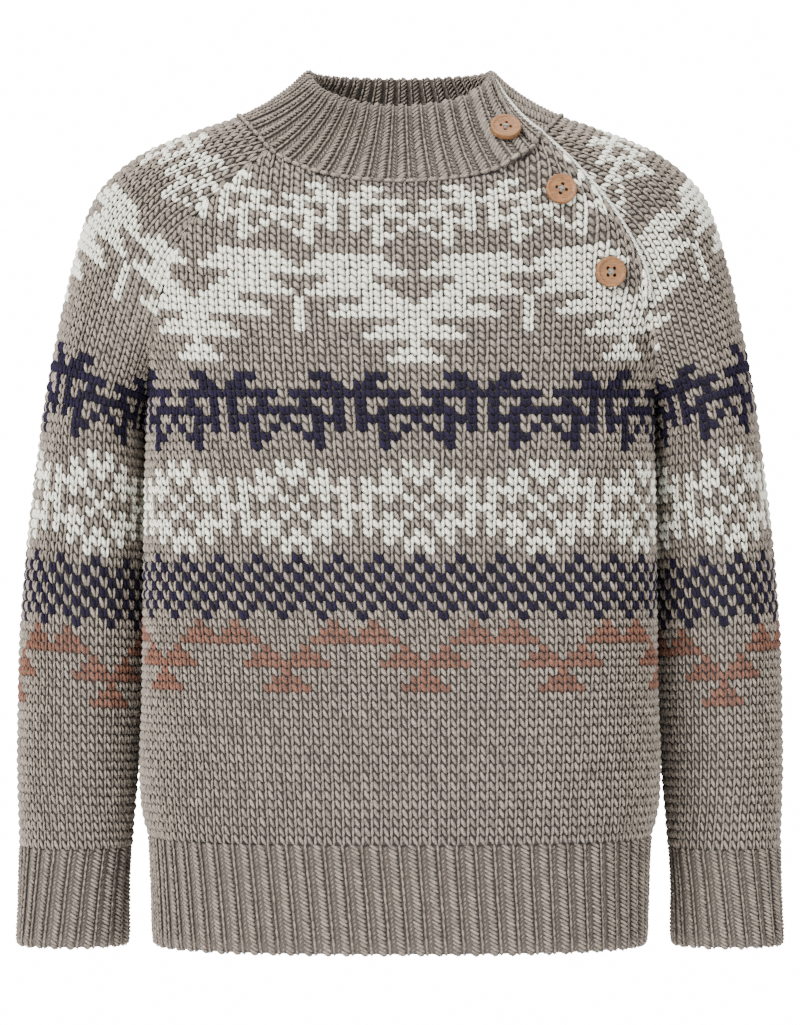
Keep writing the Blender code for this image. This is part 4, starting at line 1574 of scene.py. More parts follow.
@dataclass
class GarmentCloth:
    """The cloth under the stitches, one closed sheet for each panel."""

    basket: WoolBasket
    half_columns: int = 30
    sleeve_columns: int = 48
    yoke_stations: tuple[float, ...] = (*np.linspace(0.0, 101.0, 16), *np.linspace(110.0, 192.0, 10))
    lower_stations: tuple[float, ...] = tuple(np.linspace(202.0, CUFF_STATION, 24))
    body_levels: tuple[float, ...] = tuple(np.linspace(-146.0, BODY_BOTTOM, 30))
    grids: dict[str, list[np.ndarray]] = field(default_factory=dict)

    def full_row(self, side: Side, station: float | None, level: float) -> np.ndarray:
        """A course from the wearer's right edge to the left one, evenly spaced on each half."""
        points, ways = full_course(side, station, level)
        right = np.linspace(ways[0], 0.0, self.half_columns + 1)
        left = np.linspace(0.0, ways[-1], self.half_columns + 1)
        return at_ways(points, ways, np.concatenate((right[:-1], left)))

    def panel_grid(self, side: Side) -> np.ndarray:
        """Outer points of the front or back, from the neckline down to the rib."""
        yoke = np.array([self.full_row(side, station, 0.0) for station in self.yoke_stations])
        if side is Side.FRONT:
            yoke = self.shaped_neckline(yoke)
        lower = np.array([self.full_row(side, None, level) for level in self.body_levels])
        return np.concatenate((yoke, lower))

    def shaped_neckline(self, yoke: np.ndarray) -> np.ndarray:
        """Draw the yoke's rows down at the middle, where the neckline cuts across the courses."""
        courses = YOKE.read("front_course", np.array(self.yoke_stations))
        across = np.abs(np.linspace(-1.0, 1.0, yoke.shape[1]))
        top = FRONT_NECK_COURSE + (courses[0] - FRONT_NECK_COURSE) * across**2
        shaped = np.empty_like(yoke)
        for j in range(yoke.shape[1]):
            scale = (top[j] - UNDERARM_LEVEL) / (courses[0] - UNDERARM_LEVEL)
            wanted = UNDERARM_LEVEL + (courses - UNDERARM_LEVEL) * scale
            for axis in range(3):
                shaped[:, j, axis] = np.interp(wanted, courses[::-1], yoke[::-1, j, axis])
        return shaped

    def sleeve_grid(self, left: bool) -> np.ndarray:
        """Outer points of a sleeve on the wearer's left; the right one is mirrored later."""
        rows = []
        for station in self.yoke_stations + self.lower_stations:
            course = sleeve_course(station)
            ways = lengths_along(course)
            start = 0.0
            if left and station < UNDERARM_STATION:
                start = float(OPENING.read("seam_shift", station))
            rows.append(at_ways(course, ways, np.linspace(start, ways[-1], self.sleeve_columns + 1)))
        return np.array(rows)

    def lay_out(self) -> None:
        """Draw all panels on shared seam points, with their normals."""
        for name, side in (("front", Side.FRONT), ("back", Side.BACK)):
            grid = self.panel_grid(side)
            self.grids[name] = [grid, facing_out(grid_normals(grid), grid, BODY_MIDDLE)]
        for name, left in (("sleeve_left", True), ("sleeve_right", False)):
            grid = self.sleeve_grid(left)
            normals = facing_out(grid_normals(grid, self.closed), grid, grid.mean(axis=1, keepdims=True))
            self.grids[name] = [grid, normals] if left else [mirrored(grid), mirrored(normals)]
        self.open_raglans()
        self.open_sides()

    @property
    def closed(self) -> np.ndarray:
        """Which of a sleeve's rows go all the way round."""
        return np.array([s >= UNDERARM_STATION for s in self.yoke_stations + self.lower_stations])

    def open_raglans(self) -> None:
        """Bring each raglan edge to its shared normal and open the seam gap."""
        last = len(self.yoke_stations) - 1
        closed_from = int(np.argmax(np.array(self.yoke_stations) >= LAP_END_STATION))
        joins = (
            ("front", -1, -2, "sleeve_left", 0, 1, closed_from),
            ("front", 0, 1, "sleeve_right", 0, 1, 0),
            ("back", -1, -2, "sleeve_left", -1, -2, 0),
            ("back", 0, 1, "sleeve_right", -1, -2, 0),
        )
        for body, edge, inside, sleeve, sleeve_edge, sleeve_inside, first in joins:
            rows = slice(first, last)
            body_grid, body_normals = self.grids[body]
            sleeve_points, sleeve_normals = self.grids[sleeve]
            seam = body_grid[rows, edge].copy()
            normal = unit(body_normals[rows, edge] + sleeve_normals[rows, sleeve_edge])
            to_body = unit(body_grid[rows, inside] - seam)
            to_sleeve = unit(sleeve_points[rows, sleeve_inside] - seam)
            into = to_body - to_sleeve
            into = unit(into - normal * np.sum(into * normal, axis=-1, keepdims=True))
            body_grid[rows, edge] = seam + into * SEAM_GAP / 2
            sleeve_points[rows, sleeve_edge] = seam - into * SEAM_GAP / 2
            body_normals[rows, edge] = normal
            sleeve_normals[rows, sleeve_edge] = normal

    def open_sides(self) -> None:
        """Open the gap between front and back down each side."""
        first = len(self.yoke_stations) - 1
        for name, side in (("front", Side.FRONT), ("back", Side.BACK)):
            grid, normals = self.grids[name]
            for column, outward in ((-1, 1.0), (0, -1.0)):
                grid[first:, column, 1] += side.value * SEAM_GAP / 2
                grid[first, column, 0] -= outward * SEAM_GAP
                normals[first:, column] = (outward, 0.0, 0.0)

    def neck_line(self) -> tuple[np.ndarray, np.ndarray]:
        """Find the collar's seam line.

        Returns:
            Its points from the front's free edge, round by the wearer's right and the back, to
            the left sleeve's front edge, and their shared normals.
        """
        order = (("front", -1), ("sleeve_right", 1), ("back", 1), ("sleeve_left", -1))
        line = np.concatenate([self.grids[name][0][0][::turn] for name, turn in order])
        normals = np.concatenate([self.grids[name][1][0][::turn] for name, turn in order])
        rise = unit(collar_top(line) - line)
        across = unit(np.cross(rise, np.gradient(line, axis=0)))
        if np.sum(across * line) < 0:
            across = -across
        shared = unit(across + normals)
        start = 0
        for name, turn in order:
            count = self.grids[name][0].shape[1]
            self.grids[name][1][0] = shared[start:start + count][::turn]
            start += count
        return line, shared

    def lift_flap(self) -> None:
        """Raise the front's left edge, so that its lap clears the sleeve under it."""
        grid, normals = self.grids["front"]
        for i, station in enumerate(self.yoke_stations):
            from_edge = lengths_along(grid[i][::-1])[::-1]
            rise = flap_rise(np.full(len(from_edge), station), from_edge)
            grid[i] += normals[i] * rise[:, None]

    def build(self) -> dict[str, bpy.types.Object]:
        """Make the four sheets.

        Returns:
            The sheets by their nodes' names.
        """
        self.lift_flap()
        sheets = {}
        for name, (grid, normals) in self.grids.items():
            rows = self.closed if name.startswith("sleeve") else np.zeros(len(grid), dtype=bool)
            outer = creased(grid - normals * CLOTH_DEPTH, normals)
            inner = creased(grid - normals * WALL, normals)
            sheet = cloth_shell(f"{name}_cloth", outer, inner, rows, self.basket.backing)
            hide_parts(name)
            sheets[name] = sheet
        return sheets


def collar_top(base: np.ndarray) -> np.ndarray:
    """The collar's top edge over each point of its base line."""
    turn = np.unwrap(np.arctan2(base[:, 0] / COLLAR_BASE_HALF[0], -base[:, 1] / COLLAR_BASE_HALF[1]))
    turn += math.radians(COLLAR_LAP_TURN) * smooth_step(turn / turn[0])
    x = COLLAR_TOP_HALF[0] * np.sin(turn)
    y = -COLLAR_TOP_HALF[1] * np.cos(turn)
    z = COLLAR_TOP_LEVEL - COLLAR_TOP_DIP * np.maximum(0.0, np.cos(turn))
    return np.stack((x, y, z), axis=1)


@dataclass
class RibbedStrip:
    """A band of rib whose wales run from its first row to its last.

    The face grid holds the strip's outer points at four samples a rib. The strip can turn
    over an edge and run on down its other side.
    """

    name: str
    grid: np.ndarray
    normals: np.ndarray
    inner: np.ndarray
    turn: float
    closed: bool
    samples: int = 4
    fold: tuple[int, int] = (0, 0)
    fold_relief: float = 0.3
    row_offset: float = 0.4

    @property
    def ribs(self) -> int:
        """How many ribs the strip has."""
        return (self.grid.shape[1] - 1) // self.samples

    @property
    def depth(self) -> np.ndarray:
        """How much of the relief each row has: little of it where the strip turns over."""
        share = np.ones((len(self.grid), 1, 1))
        share[self.fold[0] - 1:self.fold[1]] = self.fold_relief
        return share

    @property
    def wave(self) -> np.ndarray:
        """The ribs' relief at each row and sample."""
        columns = np.arange(self.grid.shape[1]) / self.samples
        relief = -np.cos(2 * math.pi * columns) * RIB_HEIGHT / 2
        return relief[None, :, None] * self.depth

    def cloth(self, material: bpy.types.Material) -> bpy.types.Object:
        """Make the strip's sheet of cloth.

        Args:
            material: The cloth's finish.

        Returns:
            The sheet.
        """
        outer = self.grid + self.normals * (self.wave - CLOTH_DEPTH * self.depth)
        kept = np.unique(np.append(np.arange(0, len(outer), 2), len(outer) - 1))
        closed_rows = np.full(len(kept), self.closed)
        sheet = cloth_shell(f"{self.name}_cloth", outer[kept], self.inner[kept], closed_rows, material)
        return sheet

    def yarn(self, basket: WoolBasket, rng: np.random.Generator, first_rib: int = 0) -> bpy.types.Object:
        """Knit the strip's ribs.

        Args:
            basket: The yarns.
            rng: The source of the stitches' small differences.
            first_rib: The first rib that is whole.

        Returns:
            The piece.
        """
        relief = self.grid + self.normals * self.wave
        relief = np.concatenate((2 * relief[:1] - relief[1:2], relief))
        normals = np.concatenate((self.normals[:1], self.normals))
        pitch = np.linalg.norm(np.gradient(relief, axis=1), axis=-1) * self.samples
        lattice = Lattice(relief, normals, pitch, -1.0, 0.0, 1 / self.samples, self.turn)
        rows, ribs = np.meshgrid(np.arange(len(self.grid) - 1.0), np.arange(first_rib, self.ribs) + 0.5)
        rows = rows.ravel()
        ribs = ribs.ravel()
        mesh = YarnMesh()
        raised = rows - self.row_offset
        mesh.add(lattice, raised, ribs, RIB_HATCH, rng, 0.8)
        folded = (rows >= self.fold[0] - 2) & (rows < self.fold[1])
        second = (rows % 2 == 0) & ~folded
        mesh.add(lattice, raised[second], ribs[second], RIB_STRAND, rng, 0.35)
        mesh.add(lattice, raised[folded], ribs[folded], RIB_SHORT_STRAND, rng, 0.35)
        shown = rows < self.fold[0] + 1
        mesh.add(lattice, rows[shown], ribs[shown], RIB_PURL, rng, 0.6)
        return mesh.build(f"{self.name}_rib_stitches", basket.rib, "wool_rib")


def turned_edge(outer: np.ndarray, normals: np.ndarray, onward: np.ndarray, wall: float,
                steps: int) -> tuple[np.ndarray, np.ndarray]:
    """Turn a strip over its edge in a half circle.

    Args:
        outer: The last row of its face.
        normals: That row's normals.
        onward: The way that the strip was running.
        wall: How thick the strip is.
        steps: How many rows the turn takes.

    Returns:
        The rows of the turn and their normals, the last row lying on the other side.
    """
    rows = []
    row_normals = []
    for k in range(1, steps + 1):
        angle = math.pi * k / steps
        facing = normals * math.cos(angle) + onward * math.sin(angle)
        rows.append(outer - normals * wall / 2 + facing * wall / 2)
        row_normals.append(facing)
    return np.array(rows), np.array(row_normals)


@dataclass
class FunnelCollar:
    """The folded funnel collar, ribbed outside and inside."""

    line: np.ndarray
    line_normals: np.ndarray
    outer_rows: int = 22
    turn_rows: int = 4
    samples: int = 4

    def surface(self) -> tuple[np.ndarray, np.ndarray]:
        """The collar's plain outer face and its normals, from its seam to its top."""
        fractions = np.linspace(0.0, 1.0, COLLAR_RIBS * self.samples + 1)
        line_along = lengths_along(self.line)
        along = fractions * line_along[-1]
        base = at_ways(self.line, line_along, along)
        read_normals = [np.interp(along, line_along, self.line_normals[:, i]) for i in range(3)]
        base_normals = unit(np.stack(read_normals, axis=1))
        top = collar_top(base)
        start = COLLAR_SEAM_GAP / np.linalg.norm(top - base, axis=1)
        rows = []
        for fraction in np.linspace(0.0, COLLAR_TOP_SHARE, self.outer_rows + 1):
            share = (start * (1 - fraction) + fraction)[:, None]
            pull = np.stack((-base[:, 0], -base[:, 1], np.full(len(base), -COLLAR_PULL_DOWN)), axis=1)
            hollow = unit(pull) * COLLAR_HOLLOW * 4 * share * (1 - share)
            rows.append(base * (1 - share) + top * share + hollow)
        plain = np.array(rows)
        normals = facing_out(grid_normals(plain), plain, COLLAR_MIDDLE)
        for i in range(3):
            blend = i / 3
            normals[i] = unit(base_normals * (1 - blend) + normals[i] * blend)
        lift = COLLAR_FLAP_LIFT * (1 - smooth_step((along - COLLAR_FLAP_WIDTH - LIFT_MARGIN) / LIFT_RAMP))
        return plain + normals * lift[None, :, None], normals

    def build(self, basket: WoolBasket, rng: np.random.Generator) -> list[bpy.types.Object]:
        """Make the collar.

        Args:
            basket: The yarns.
            rng: The source of the stitches' small differences.

        Returns:
            The sheet and its stitches.
        """
        face, normals = self.surface()
        onward = unit(face[-1] - face[-2])
        edge, edge_normals = turned_edge(face[-1], normals[-1], onward, COLLAR_WALL, self.turn_rows)
        back = (face - normals * COLLAR_WALL)[::-1][1:]
        grid = np.concatenate((face, edge, back))
        all_normals = np.concatenate((normals, edge_normals, -normals[::-1][1:]))
        core = grid - all_normals * COLLAR_WALL * 0.42
        fold = (len(face) - 1, len(face) + self.turn_rows - 1)
        turn = self.handedness(face, normals)
        strip = RibbedStrip("collar", grid, all_normals, core, turn, False, self.samples, fold)
        sheet = strip.cloth(basket.rib_backing)
        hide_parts("collar")
        chain = self.seam_chain(face, normals, basket, rng, turn)
        return [sheet, strip.yarn(basket, rng), chain]

    def handedness(self, face: np.ndarray, normals: np.ndarray) -> float:
        """1 where the ribs count to the right as seen from outside, or else -1."""
        across = face[1, 1] - face[1, 0]
        down = face[0, 0] - face[1, 0]
        return 1.0 if np.dot(np.cross(down, across), normals[1, 0]) > 0 else -1.0

    def seam_chain(self, face: np.ndarray, normals: np.ndarray, basket: WoolBasket,
                   rng: np.random.Generator, turn: float) -> bpy.types.Object:
        """The row of linked stitches along the collar's seam."""
        pitch = np.linalg.norm(np.gradient(face[:3], axis=1), axis=-1) * self.samples / 2
        lattice = Lattice(face[:3], normals[:3], pitch, 0.0, 0.0, 2 / self.samples, turn)
        links = np.arange(COLLAR_RIBS * 2) + 0.5
        mesh = YarnMesh()
        mesh.add(lattice, np.zeros(len(links)) - 0.25, links, SEAM_LINK, rng, 0.6)
        return mesh.build("collar_seam_links", basket.rib, "wool_rib")


@dataclass(kw_only=True)
class TurnedRib:
    """A band of rib that turns over at its lower edge and runs back up inside."""

    rows: int = 25
    turn_rows: int = 3
    inside_rows: int = 3
    samples: int = 4
    slant: float = 0.5
    core_share: float = 0.4

    def turned_over(self, name: str, face: np.ndarray, normals: np.ndarray, turn: float,
                    closed: bool, basket: WoolBasket,
                    rng: np.random.Generator) -> list[bpy.types.Object]:
        """Turn the band over and make its pieces.

        Args:
            name: The band's node.
            face: Its outer points, row by row.
            normals: Their normals.
            turn: 1 where the ribs count to the right as seen from outside, or else -1.
            closed: Whether the band goes all the way round.
            basket: The yarns.
            rng: The source of the stitches' small differences.

        Returns:
            The sheet and its stitches.
        """
        onward = np.tile((0.0, 0.0, -1.0), (face.shape[1], 1))
        edge, edge_normals = turned_edge(face[-1], normals[-1], onward, WALL, self.turn_rows)
        back = (face - normals * WALL)[::-1][1:]
        grid = np.concatenate((face, edge, back))
        all_normals = np.concatenate((normals, edge_normals, -normals[::-1][1:]))
        core = grid - all_normals * WALL * self.core_share
        fold = (self.rows, self.rows + self.turn_rows)
        whole = RibbedStrip(name, grid, all_normals, core, turn, closed, self.samples, fold)
        sheet = whole.cloth(basket.rib_backing)
        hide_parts(name)
        count = self.rows + self.turn_rows + self.inside_rows
        knitted = replace(whole, grid=grid[:count], normals=all_normals[:count], inner=core[:count])
        return [sheet, knitted.yarn(basket, rng)]


@dataclass
class RibbedHem(TurnedRib):
    """The rib below the front or the back."""

    side: Side

    def build(self, basket: WoolBasket, rng: np.random.Generator) -> list[bpy.types.Object]:
        """Make the hem.

        Args:
            basket: The yarns.
            rng: The source of the stitches' small differences.

        Returns:
            The sheet and its stitches.
        """
        name = f"hem_{self.side.name.lower()}"
        turn = 1.0 if self.side is Side.FRONT else -1.0
        levels = np.linspace(HEM_TOP, HEM_BOTTOM + WALL / 2, self.rows + 1)
        columns = np.linspace(0.0, 1.0, HEM_RIBS * self.samples + 1)
        face = []
        for i, level in enumerate(levels):
            half = body_half(self.side, level)
            row = np.concatenate((mirrored(half)[::-1], half[1:]))
            drift = self.slant / HEM_RIBS * (i / self.rows - 0.5) * turn
            drift = drift * np.sin(math.pi * columns) ** 0.3
            face.append(at_fractions(row, columns + drift))
        face = np.array(face)
        normals = facing_out(grid_normals(face), face, HEM_MIDDLE)
        normals[:, :, 2] = 0.0
        normals[:, 0] = (-1.0, 0.0, 0.0)
        normals[:, -1] = (1.0, 0.0, 0.0)
        normals = unit(normals)
        face[:, (0, -1), 1] += self.side.value * SEAM_GAP / 2
        return self.turned_over(name, face, normals, turn, False, basket, rng)


@dataclass
class RibbedCuff(TurnedRib):
    """The rib below one sleeve, closed in a ring."""

    left: bool

    def build(self, basket: WoolBasket, rng: np.random.Generator) -> list[bpy.types.Object]:
        """Make the cuff.

        Args:
            basket: The yarns.
            rng: The source of the stitches' small differences.

        Returns:
            The sheet and its stitches.
        """
        name = "cuff_left" if self.left else "cuff_right"
        turn = 1.0 if self.left else -1.0
        face = []
        normals = []
        levels = np.linspace(CUFF_TOP, CUFF_BOTTOM + WALL / 2, self.rows + 1)
        for i, level in enumerate(levels):
            read = CUFF.at(level)
            half_x = (read["outer_x"] - read["inner_x"]) / 2
            half_y = (read["back_y"] - read["front_y"]) / 2
            drift = self.slant * (i / self.rows - 0.5)
            ribs = np.linspace(0.0, CUFF_RIBS, CUFF_RIBS * self.samples + 1) + drift
            angle = 2 * math.pi * ribs / CUFF_RIBS
            x = (read["outer_x"] + read["inner_x"]) / 2 + half_x * np.cos(angle)
            y = (read["back_y"] + read["front_y"]) / 2 + half_y * np.sin(angle)
            face.append(np.stack((x * turn, y, np.full(len(angle), level)), axis=1))
            outward = np.stack((np.cos(angle) / half_x * turn, np.sin(angle) / half_y, 0 * angle), axis=1)
            normals.append(unit(outward))
        return self.turned_over(name, np.array(face), np.array(normals), turn, True, basket, rng)


@dataclass
class OpeningEdging:
    """The pale two-ply cord bound along the opening's free edge."""

    collar_face: np.ndarray
    collar_normals: np.ndarray
    front_face: np.ndarray
    front_normals: np.ndarray
    ply_radius: float = 0.48
    ply_lay: float = 0.42
    twist_length: float = 5.0
    sides: int = 6
    step: float = 0.7
    fibres: int = 1200
    fibre_length: float = 1.5
    fibre_radius: float = 0.05

    def line(self) -> np.ndarray:
        """The cord's middle line, from the collar's top down to the opening's end."""
        collar = self.collar_face[:, 0] - self.collar_normals[:, 0] * COLLAR_WALL / 2
        front = self.front_face[:, -1] - self.front_normals[:, -1] * WALL / 2
        edge = np.concatenate((collar[::-1], front))
        outward = np.concatenate((
            (self.collar_face[:, 0] - self.collar_face[:, 1])[::-1],
            self.front_face[:, -1] - self.front_face[:, -2],
        ))
        heading = unit(np.gradient(edge, axis=0))
        outward = unit(outward - heading * np.sum(outward * heading, axis=-1, keepdims=True))
        line = edge + outward * (EDGING_RADIUS + EDGING_GAP)
        count = int(lengths_along(line)[-1] / self.step)
        return at_fractions(line, np.linspace(0.0, 1.0, count + 1))

    def build(self, material: bpy.types.Material, rng: np.random.Generator) -> bpy.types.Object:
        """Make the cord with its loose fibres.

        Args:
            material: The cord's yarn.
            rng: The source of the fibres' places.

        Returns:
            The cord.
        """
        line = self.line()
        heading = unit(np.gradient(line, axis=0))
        side = unit(np.cross(heading, np.array((0.0, -1.0, 0.0))))
        up = np.cross(side, heading)
        turn = 2 * math.pi * lengths_along(line) / self.twist_length
        parts = []
        for phase in (0.0, math.pi):
            lay = side * np.cos(turn + phase)[:, None] + up * np.sin(turn + phase)[:, None]
            parts.append(tube(line + lay * self.ply_lay, self.ply_radius, self.sides))
        parts.append(self.loose_fibres(line, heading, side, up, rng))
        points, faces = joined(parts)
        values = {"crest": np.ones(len(points)), "tone": np.full(len(points), 0.5)}
        uv = np.stack((points[:, 2] / self.twist_length, points[:, 0] / self.twist_length), axis=1)
        cord = mesh_piece("opening_edging_cord", points, faces, material, values, uv)
        turn_outward(cord)
        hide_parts("opening_edging")
        return cord

    def loose_fibres(self, line: np.ndarray, heading: np.ndarray, side: np.ndarray, up: np.ndarray,
                     rng: np.random.Generator) -> tuple[np.ndarray, np.ndarray]:
        """Short thin spikes that stand off the cord.

        Args:
            line: The cord's middle line.
            heading: Its direction at each point.
            side: Across it, in the view's plane.
            up: Across it, out of that plane.
            rng: The source of their places.

        Returns:
            Their points and triangles.
        """
        at = rng.integers(0, len(line), self.fibres)
        angle = rng.uniform(0.0, 2 * math.pi, self.fibres)[:, None]
        out = side[at] * np.cos(angle) + up[at] * np.sin(angle)
        lean = heading[at] * rng.normal(0.0, 0.9, self.fibres)[:, None]
        way = unit(out + lean)
        across = unit(np.cross(way, heading[at] + 0.1))
        other = np.cross(way, across)
        root = line[at] + out * self.ply_radius
        length = rng.uniform(0.4, 1.0, self.fibres)[:, None] * self.fibre_length
        corners = []
        for k in range(3):
            spin = 2 * math.pi * k / 3
            corners.append(root + (across * math.cos(spin) + other * math.sin(spin)) * self.fibre_radius)
        corners.append(root + way * length)
        points = np.stack(corners, axis=1).reshape(-1, 3)
        faces = np.array(((0, 1, 3), (1, 2, 3), (2, 0, 3), (0, 2, 1)))
        start = np.arange(self.fibres)[:, None, None] * 4
        return points, (faces[None] + start).reshape(-1, 3)


@dataclass
class WoodenButton:
    """A turned wooden button on its thread, placed like its solid."""

    node: str
    turned: float
    diameter: float = 15.0
    thickness: float = 3.2
    rim: float = 1.2
    rim_slope: float = 0.7
    rounding: float = 0.55
    dish: float = 0.6
    hole: float = 1.9
    hole_spacing: float = 3.3
    thread_radius: float = 0.27
    thread_inset: float = 0.62
    thread_lift: float = 0.25
    thread_plunge: float = 1.6
    strand_rise: float = 0.18
    strand_offset: float = 0.3

    def place(self) -> Matrix:
        """Find where the solid lies and which way it faces.

        Returns:
            The matrix that brings a button lying on the floor to its seat.
        """
        solid = frame["nodes"][self.node]
        points = np.array([vertex.co[:] for vertex in solid.data.vertices])
        centre = (points.max(axis=0) + points.min(axis=0)) / 2
        spread = points - points.mean(axis=0)
        facing = Vector(np.linalg.eigh(spread.T @ spread)[1][:, 0])
        if facing.y > 0:
            facing.negate()
        back = facing * (self.thickness / 2 * MM)
        turn = facing.to_track_quat("Z", "Y").to_matrix().to_4x4()
        spin = Matrix.Rotation(math.radians(self.turned), 4, "Z")
        return Matrix.Translation(Vector(centre) - back) @ turn @ spin

    def hole_places(self) -> list[tuple[float, float]]:
        """The holes' middles, in metres."""
        reach = self.hole_spacing / 2 * MM
        return [(reach, reach), (-reach, reach), (-reach, -reach), (reach, -reach)]

    def disc(self) -> bpy.types.Object:
        """Turn the disc with its rim and its dished face."""
        bpy.ops.object.select_all(action="DESELECT")
        bpy.ops.mesh.primitive_cylinder_add(
            vertices=48, radius=self.diameter / 2 * MM, depth=self.thickness * MM,
            location=(0.0, 0.0, self.thickness / 2 * MM),
        )
        disc = bpy.context.object
        disc.name = f"{self.node}_wood"
        bpy.ops.object.transform_apply(location=True, rotation=True, scale=True)
        bpy.ops.object.mode_set(mode="EDIT")
        bpy.ops.mesh.select_mode(type="FACE")
        bpy.ops.mesh.select_all(action="DESELECT")
        work = bmesh.from_edit_mesh(disc.data)
        for face in work.faces:
            face.select_set(face.normal.z > 0.9)
        bmesh.update_edit_mesh(disc.data)
        bpy.ops.mesh.inset(thickness=self.rim * MM)
        bpy.ops.mesh.inset(thickness=self.rim_slope * MM, depth=-self.dish * MM)
        bpy.ops.object.mode_set(mode="OBJECT")
        self.applied(
            disc, "BEVEL", width=self.rounding * MM, segments=3,
            limit_method="ANGLE", angle_limit=math.radians(25),
        )
        return disc

    def applied(self, item: bpy.types.Object, kind: str, **settings: object) -> None:
        """Add a modifier to an object and apply it."""
        bpy.ops.object.select_all(action="DESELECT")
        item.select_set(True)
        bpy.context.view_layer.objects.active = item
        modifier = item.modifiers.new(kind.lower(), kind)
        for name, setting in settings.items():
            setattr(modifier, name, setting)
        bpy.ops.object.modifier_apply(modifier=modifier.name)

    def cutter(self) -> bpy.types.Object:
        """Make the four pins that cut the sewing holes."""
        pins = []
        for x, y in self.hole_places():
            bpy.ops.object.select_all(action="DESELECT")
            bpy.ops.mesh.primitive_cylinder_add(
                vertices=20, radius=self.hole / 2 * MM, depth=4 * self.thickness * MM, location=(x, y, 0.0)
            )
            pins.append(bpy.context.object)
        for pin in pins:
            pin.select_set(True)
        bpy.context.view_layer.objects.active = pins[0]
        bpy.ops.object.join()
        return bpy.context.object

    def thread(self, seat: Matrix, material: bpy.types.Material) -> bpy.types.Object:
        """Sew the button on with a cross of doubled thread.

        Args:
            seat: Where the button lies.
            material: The thread's finish.

        Returns:
            The thread.
        """
        floor = self.thickness - self.dish
        reach = self.hole_spacing / 2 * math.sqrt(2) - self.thread_inset
        along = np.linspace(-1.0, 1.0, 15)
        offsets = (-self.strand_offset, self.strand_offset)
        laid = [(math.radians(angle), offset) for angle in (45.0, 135.0) for offset in offsets]
        strands = []
        for number, (angle, offset) in enumerate(laid):
            stacked = self.strand_rise * number
            way = np.array((math.cos(angle), math.sin(angle), 0.0))
            aside = np.array((-way[1], way[0], 0.0))
            line = along[:, None] * way * reach + aside * offset
            plunge = np.abs(along) ** 6 * (self.thread_plunge + stacked)
            line[:, 2] = floor + self.thread_lift + stacked - plunge
            strands.append(tube(line, self.thread_radius, 8))
        points, faces = joined(strands)
        seated = np.array([(seat @ Vector(point))[:] for point in points * MM])
        thread = mesh_piece(f"{self.node}_thread", seated / MM, faces, material)
        turn_outward(thread)
        return thread

    def build(self, wood: bpy.types.Material, thread: bpy.types.Material) -> list[bpy.types.Object]:
        """Make the button.

        Args:
            wood: The button's finish.
            thread: Its thread's finish.

        Returns:
            The button and its thread.
        """
        seat = self.place()
        disc = self.disc()
        pins = self.cutter()
        self.applied(disc, "BOOLEAN", operation="DIFFERENCE", solver="EXACT", object=pins)
        bpy.data.objects.remove(pins)
        disc.data.transform(seat)
        bpy.ops.object.select_all(action="DESELECT")
        disc.select_set(True)
        bpy.context.view_layer.objects.active = disc
        bpy.ops.object.shade_smooth_by_angle(angle=math.radians(32))
        disc.data.materials.clear()
        disc.data.materials.append(wood)
        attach(disc, ROOT)
        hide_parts(self.node)
        return [disc, self.thread(seat, thread)]


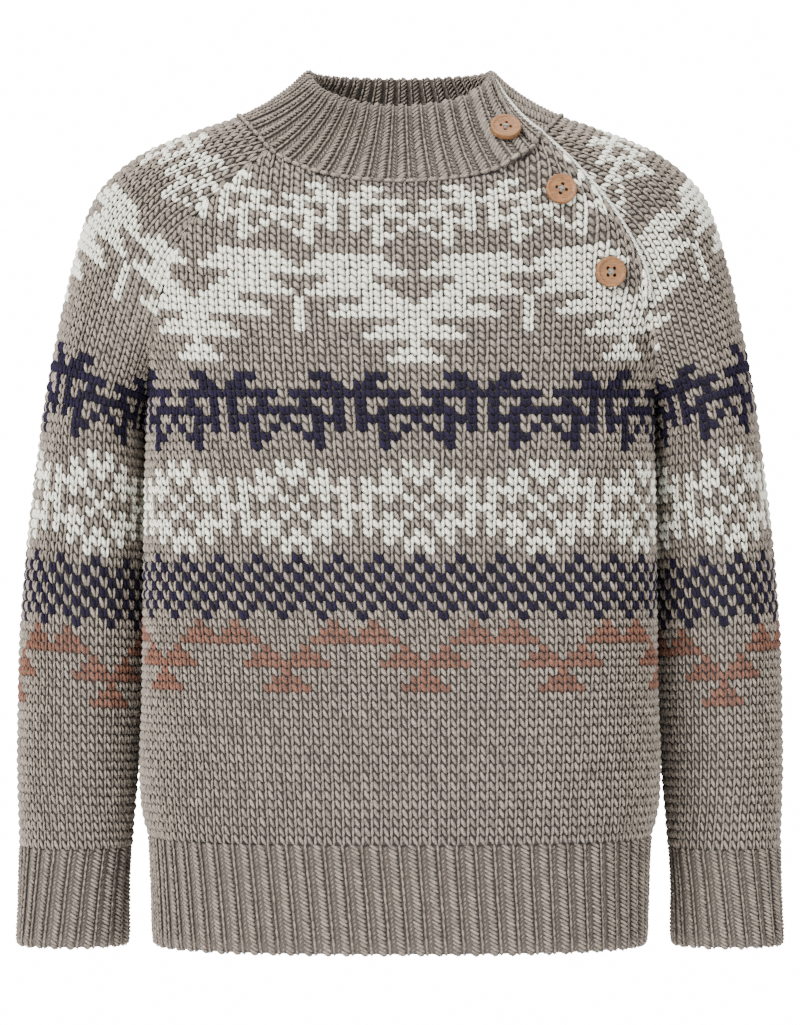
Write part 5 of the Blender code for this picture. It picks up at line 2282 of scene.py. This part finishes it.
@dataclass
class Studio:
    """The pale floor, the soft light and the camera at the photograph's place."""

    floor_level: float = -0.62
    floor_radius: float = 1.45
    world_light: float = 0.96
    backdrop_light: float = 16.0
    camera_distance: float = 2.2
    camera_level: float = -0.18125
    view_height: float = 0.5125
    sensor: float = 36.0

    def build(self) -> None:
        """Set up the floor, world, lights and camera."""
        self.floor()
        self.world()
        self.lamp("key_light", (-1.6, -2.3, 1.5), 1.6, 250.0)
        self.lamp("fill_light", (1.9, -2.2, 0.4), 2.2, 50.0)
        self.lamp("top_light", (0.0, 0.2, 2.2), 2.0, 60.0)
        self.camera()

    def floor(self) -> None:
        """Lay the round paper floor."""
        bpy.ops.mesh.primitive_circle_add(
            vertices=96, radius=self.floor_radius, fill_type="NGON", location=(0, 0, self.floor_level)
        )
        floor = bpy.context.object
        floor.name = "studio_floor"
        floor.data.materials.append(StudioPaper("studio_paper").material())
        floor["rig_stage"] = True

    def world(self) -> None:
        """Surround the scene with even white light."""
        world = bpy.data.worlds.new("studio_world")
        world.use_nodes = True
        tree = world.node_tree
        light = tree.nodes["Background"]
        light.inputs["Color"].default_value = (1.0, 1.0, 1.0, 1.0)
        light.inputs["Strength"].default_value = self.world_light
        backdrop = tree.nodes.new("ShaderNodeBackground")
        backdrop.inputs["Color"].default_value = (1.0, 1.0, 1.0, 1.0)
        backdrop.inputs["Strength"].default_value = self.backdrop_light
        seen = tree.nodes.new("ShaderNodeLightPath")
        either = tree.nodes.new("ShaderNodeMixShader")
        tree.links.new(seen.outputs["Is Camera Ray"], either.inputs[0])
        tree.links.new(light.outputs[0], either.inputs[1])
        tree.links.new(backdrop.outputs[0], either.inputs[2])
        tree.links.new(either.outputs[0], tree.nodes["World Output"].inputs[0])
        bpy.context.scene.world = world

    def lamp(self, name: str, place: tuple[float, float, float], size: float, power: float) -> None:
        """Hang a soft square lamp that faces the garment.

        Args:
            name: The lamp's name.
            place: Where it hangs, in metres.
            size: Its side.
            power: Its power in watts.
        """
        light = bpy.data.lights.new(name, "AREA")
        light.size = size
        light.energy = power
        lamp = bpy.data.objects.new(name, light)
        lamp.location = place
        towards = Vector((0.0, 0.0, self.camera_level)) - Vector(place)
        lamp.rotation_euler = towards.to_track_quat("-Z", "Y").to_euler()
        bpy.context.scene.collection.objects.link(lamp)

    def camera(self) -> None:
        """Put the camera where the photograph was taken."""
        data = bpy.data.cameras.new("studio_camera")
        data.sensor_width = self.sensor
        data.lens = self.sensor * self.camera_distance / self.view_height
        data.clip_end = 100.0
        camera = bpy.data.objects.new("studio_camera", data)
        camera.location = (0.0, -self.camera_distance, self.camera_level)
        camera.rotation_euler = (math.pi / 2, 0.0, 0.0)
        bpy.context.scene.collection.objects.link(camera)
        bpy.context.scene.camera = camera


def corners(bounds: tuple[Vector, Vector]) -> list[list[float]]:
    """The corners of a box as plain numbers."""
    return [[float(part) for part in corner] for corner in bounds]


def triangles(item: bpy.types.Object) -> int:
    """How many triangles a piece has."""
    return sum(len(face.vertices) - 2 for face in item.data.polygons)


def main() -> None:
    """Build the garment, piece by piece, and report each one."""
    logging.basicConfig(level=logging.INFO, format="%(message)s")
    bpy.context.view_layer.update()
    rng = np.random.default_rng(SEED)
    basket = WoolBasket()
    cloth = GarmentCloth(basket)
    cloth.lay_out()
    line, line_normals = cloth.neck_line()
    sheets = cloth.build()
    stitches = {
        "front": knit("front", BodyPanel(Side.FRONT, FRONT_ROW_START), BODY_BANDS, basket, rng),
        "back": knit("back", BodyPanel(Side.BACK, BACK_ROW_START), BODY_BANDS, basket, rng),
        "sleeve_left": knit("sleeve_left", SleevePanel(True), SLEEVE_BANDS, basket, rng),
        "sleeve_right": knit("sleeve_right", SleevePanel(False), SLEEVE_BANDS, basket, rng),
    }
    funnel = FunnelCollar(line, line_normals)
    collar = funnel.build(basket, rng)
    free_rows = int(np.argmax(np.array(cloth.yoke_stations) >= LAP_END_STATION)) + 1
    front_face, front_normals = (grid[:free_rows] for grid in cloth.grids["front"])
    OpeningEdging(*funnel.surface(), front_face, front_normals).build(basket.edging, rng)
    wood = TurnedWood("wood_button", (0.245, 0.112, 0.042), (0.110, 0.046, 0.017)).material()
    thread = SewingThread("thread_grey", (0.20, 0.195, 0.18)).material()
    for node, turned in (("button_1", 33.0), ("button_2", 29.0), ("button_3", 0.0)):
        WoodenButton(node, turned).build(wood, thread)
    for side in Side:
        hem = RibbedHem(side).build(basket, rng)
    for left in (True, False):
        cuff = RibbedCuff(left).build(basket, rng)
    Studio().build()
    total = 0
    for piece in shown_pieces():
        if "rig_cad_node" not in piece:
            count = triangles(piece)
            total += count
            LOG.info("%s: %d triangles", piece.name, count)
    LOG.info("added: %d triangles", total)


if __name__ == "__main__":
    main()
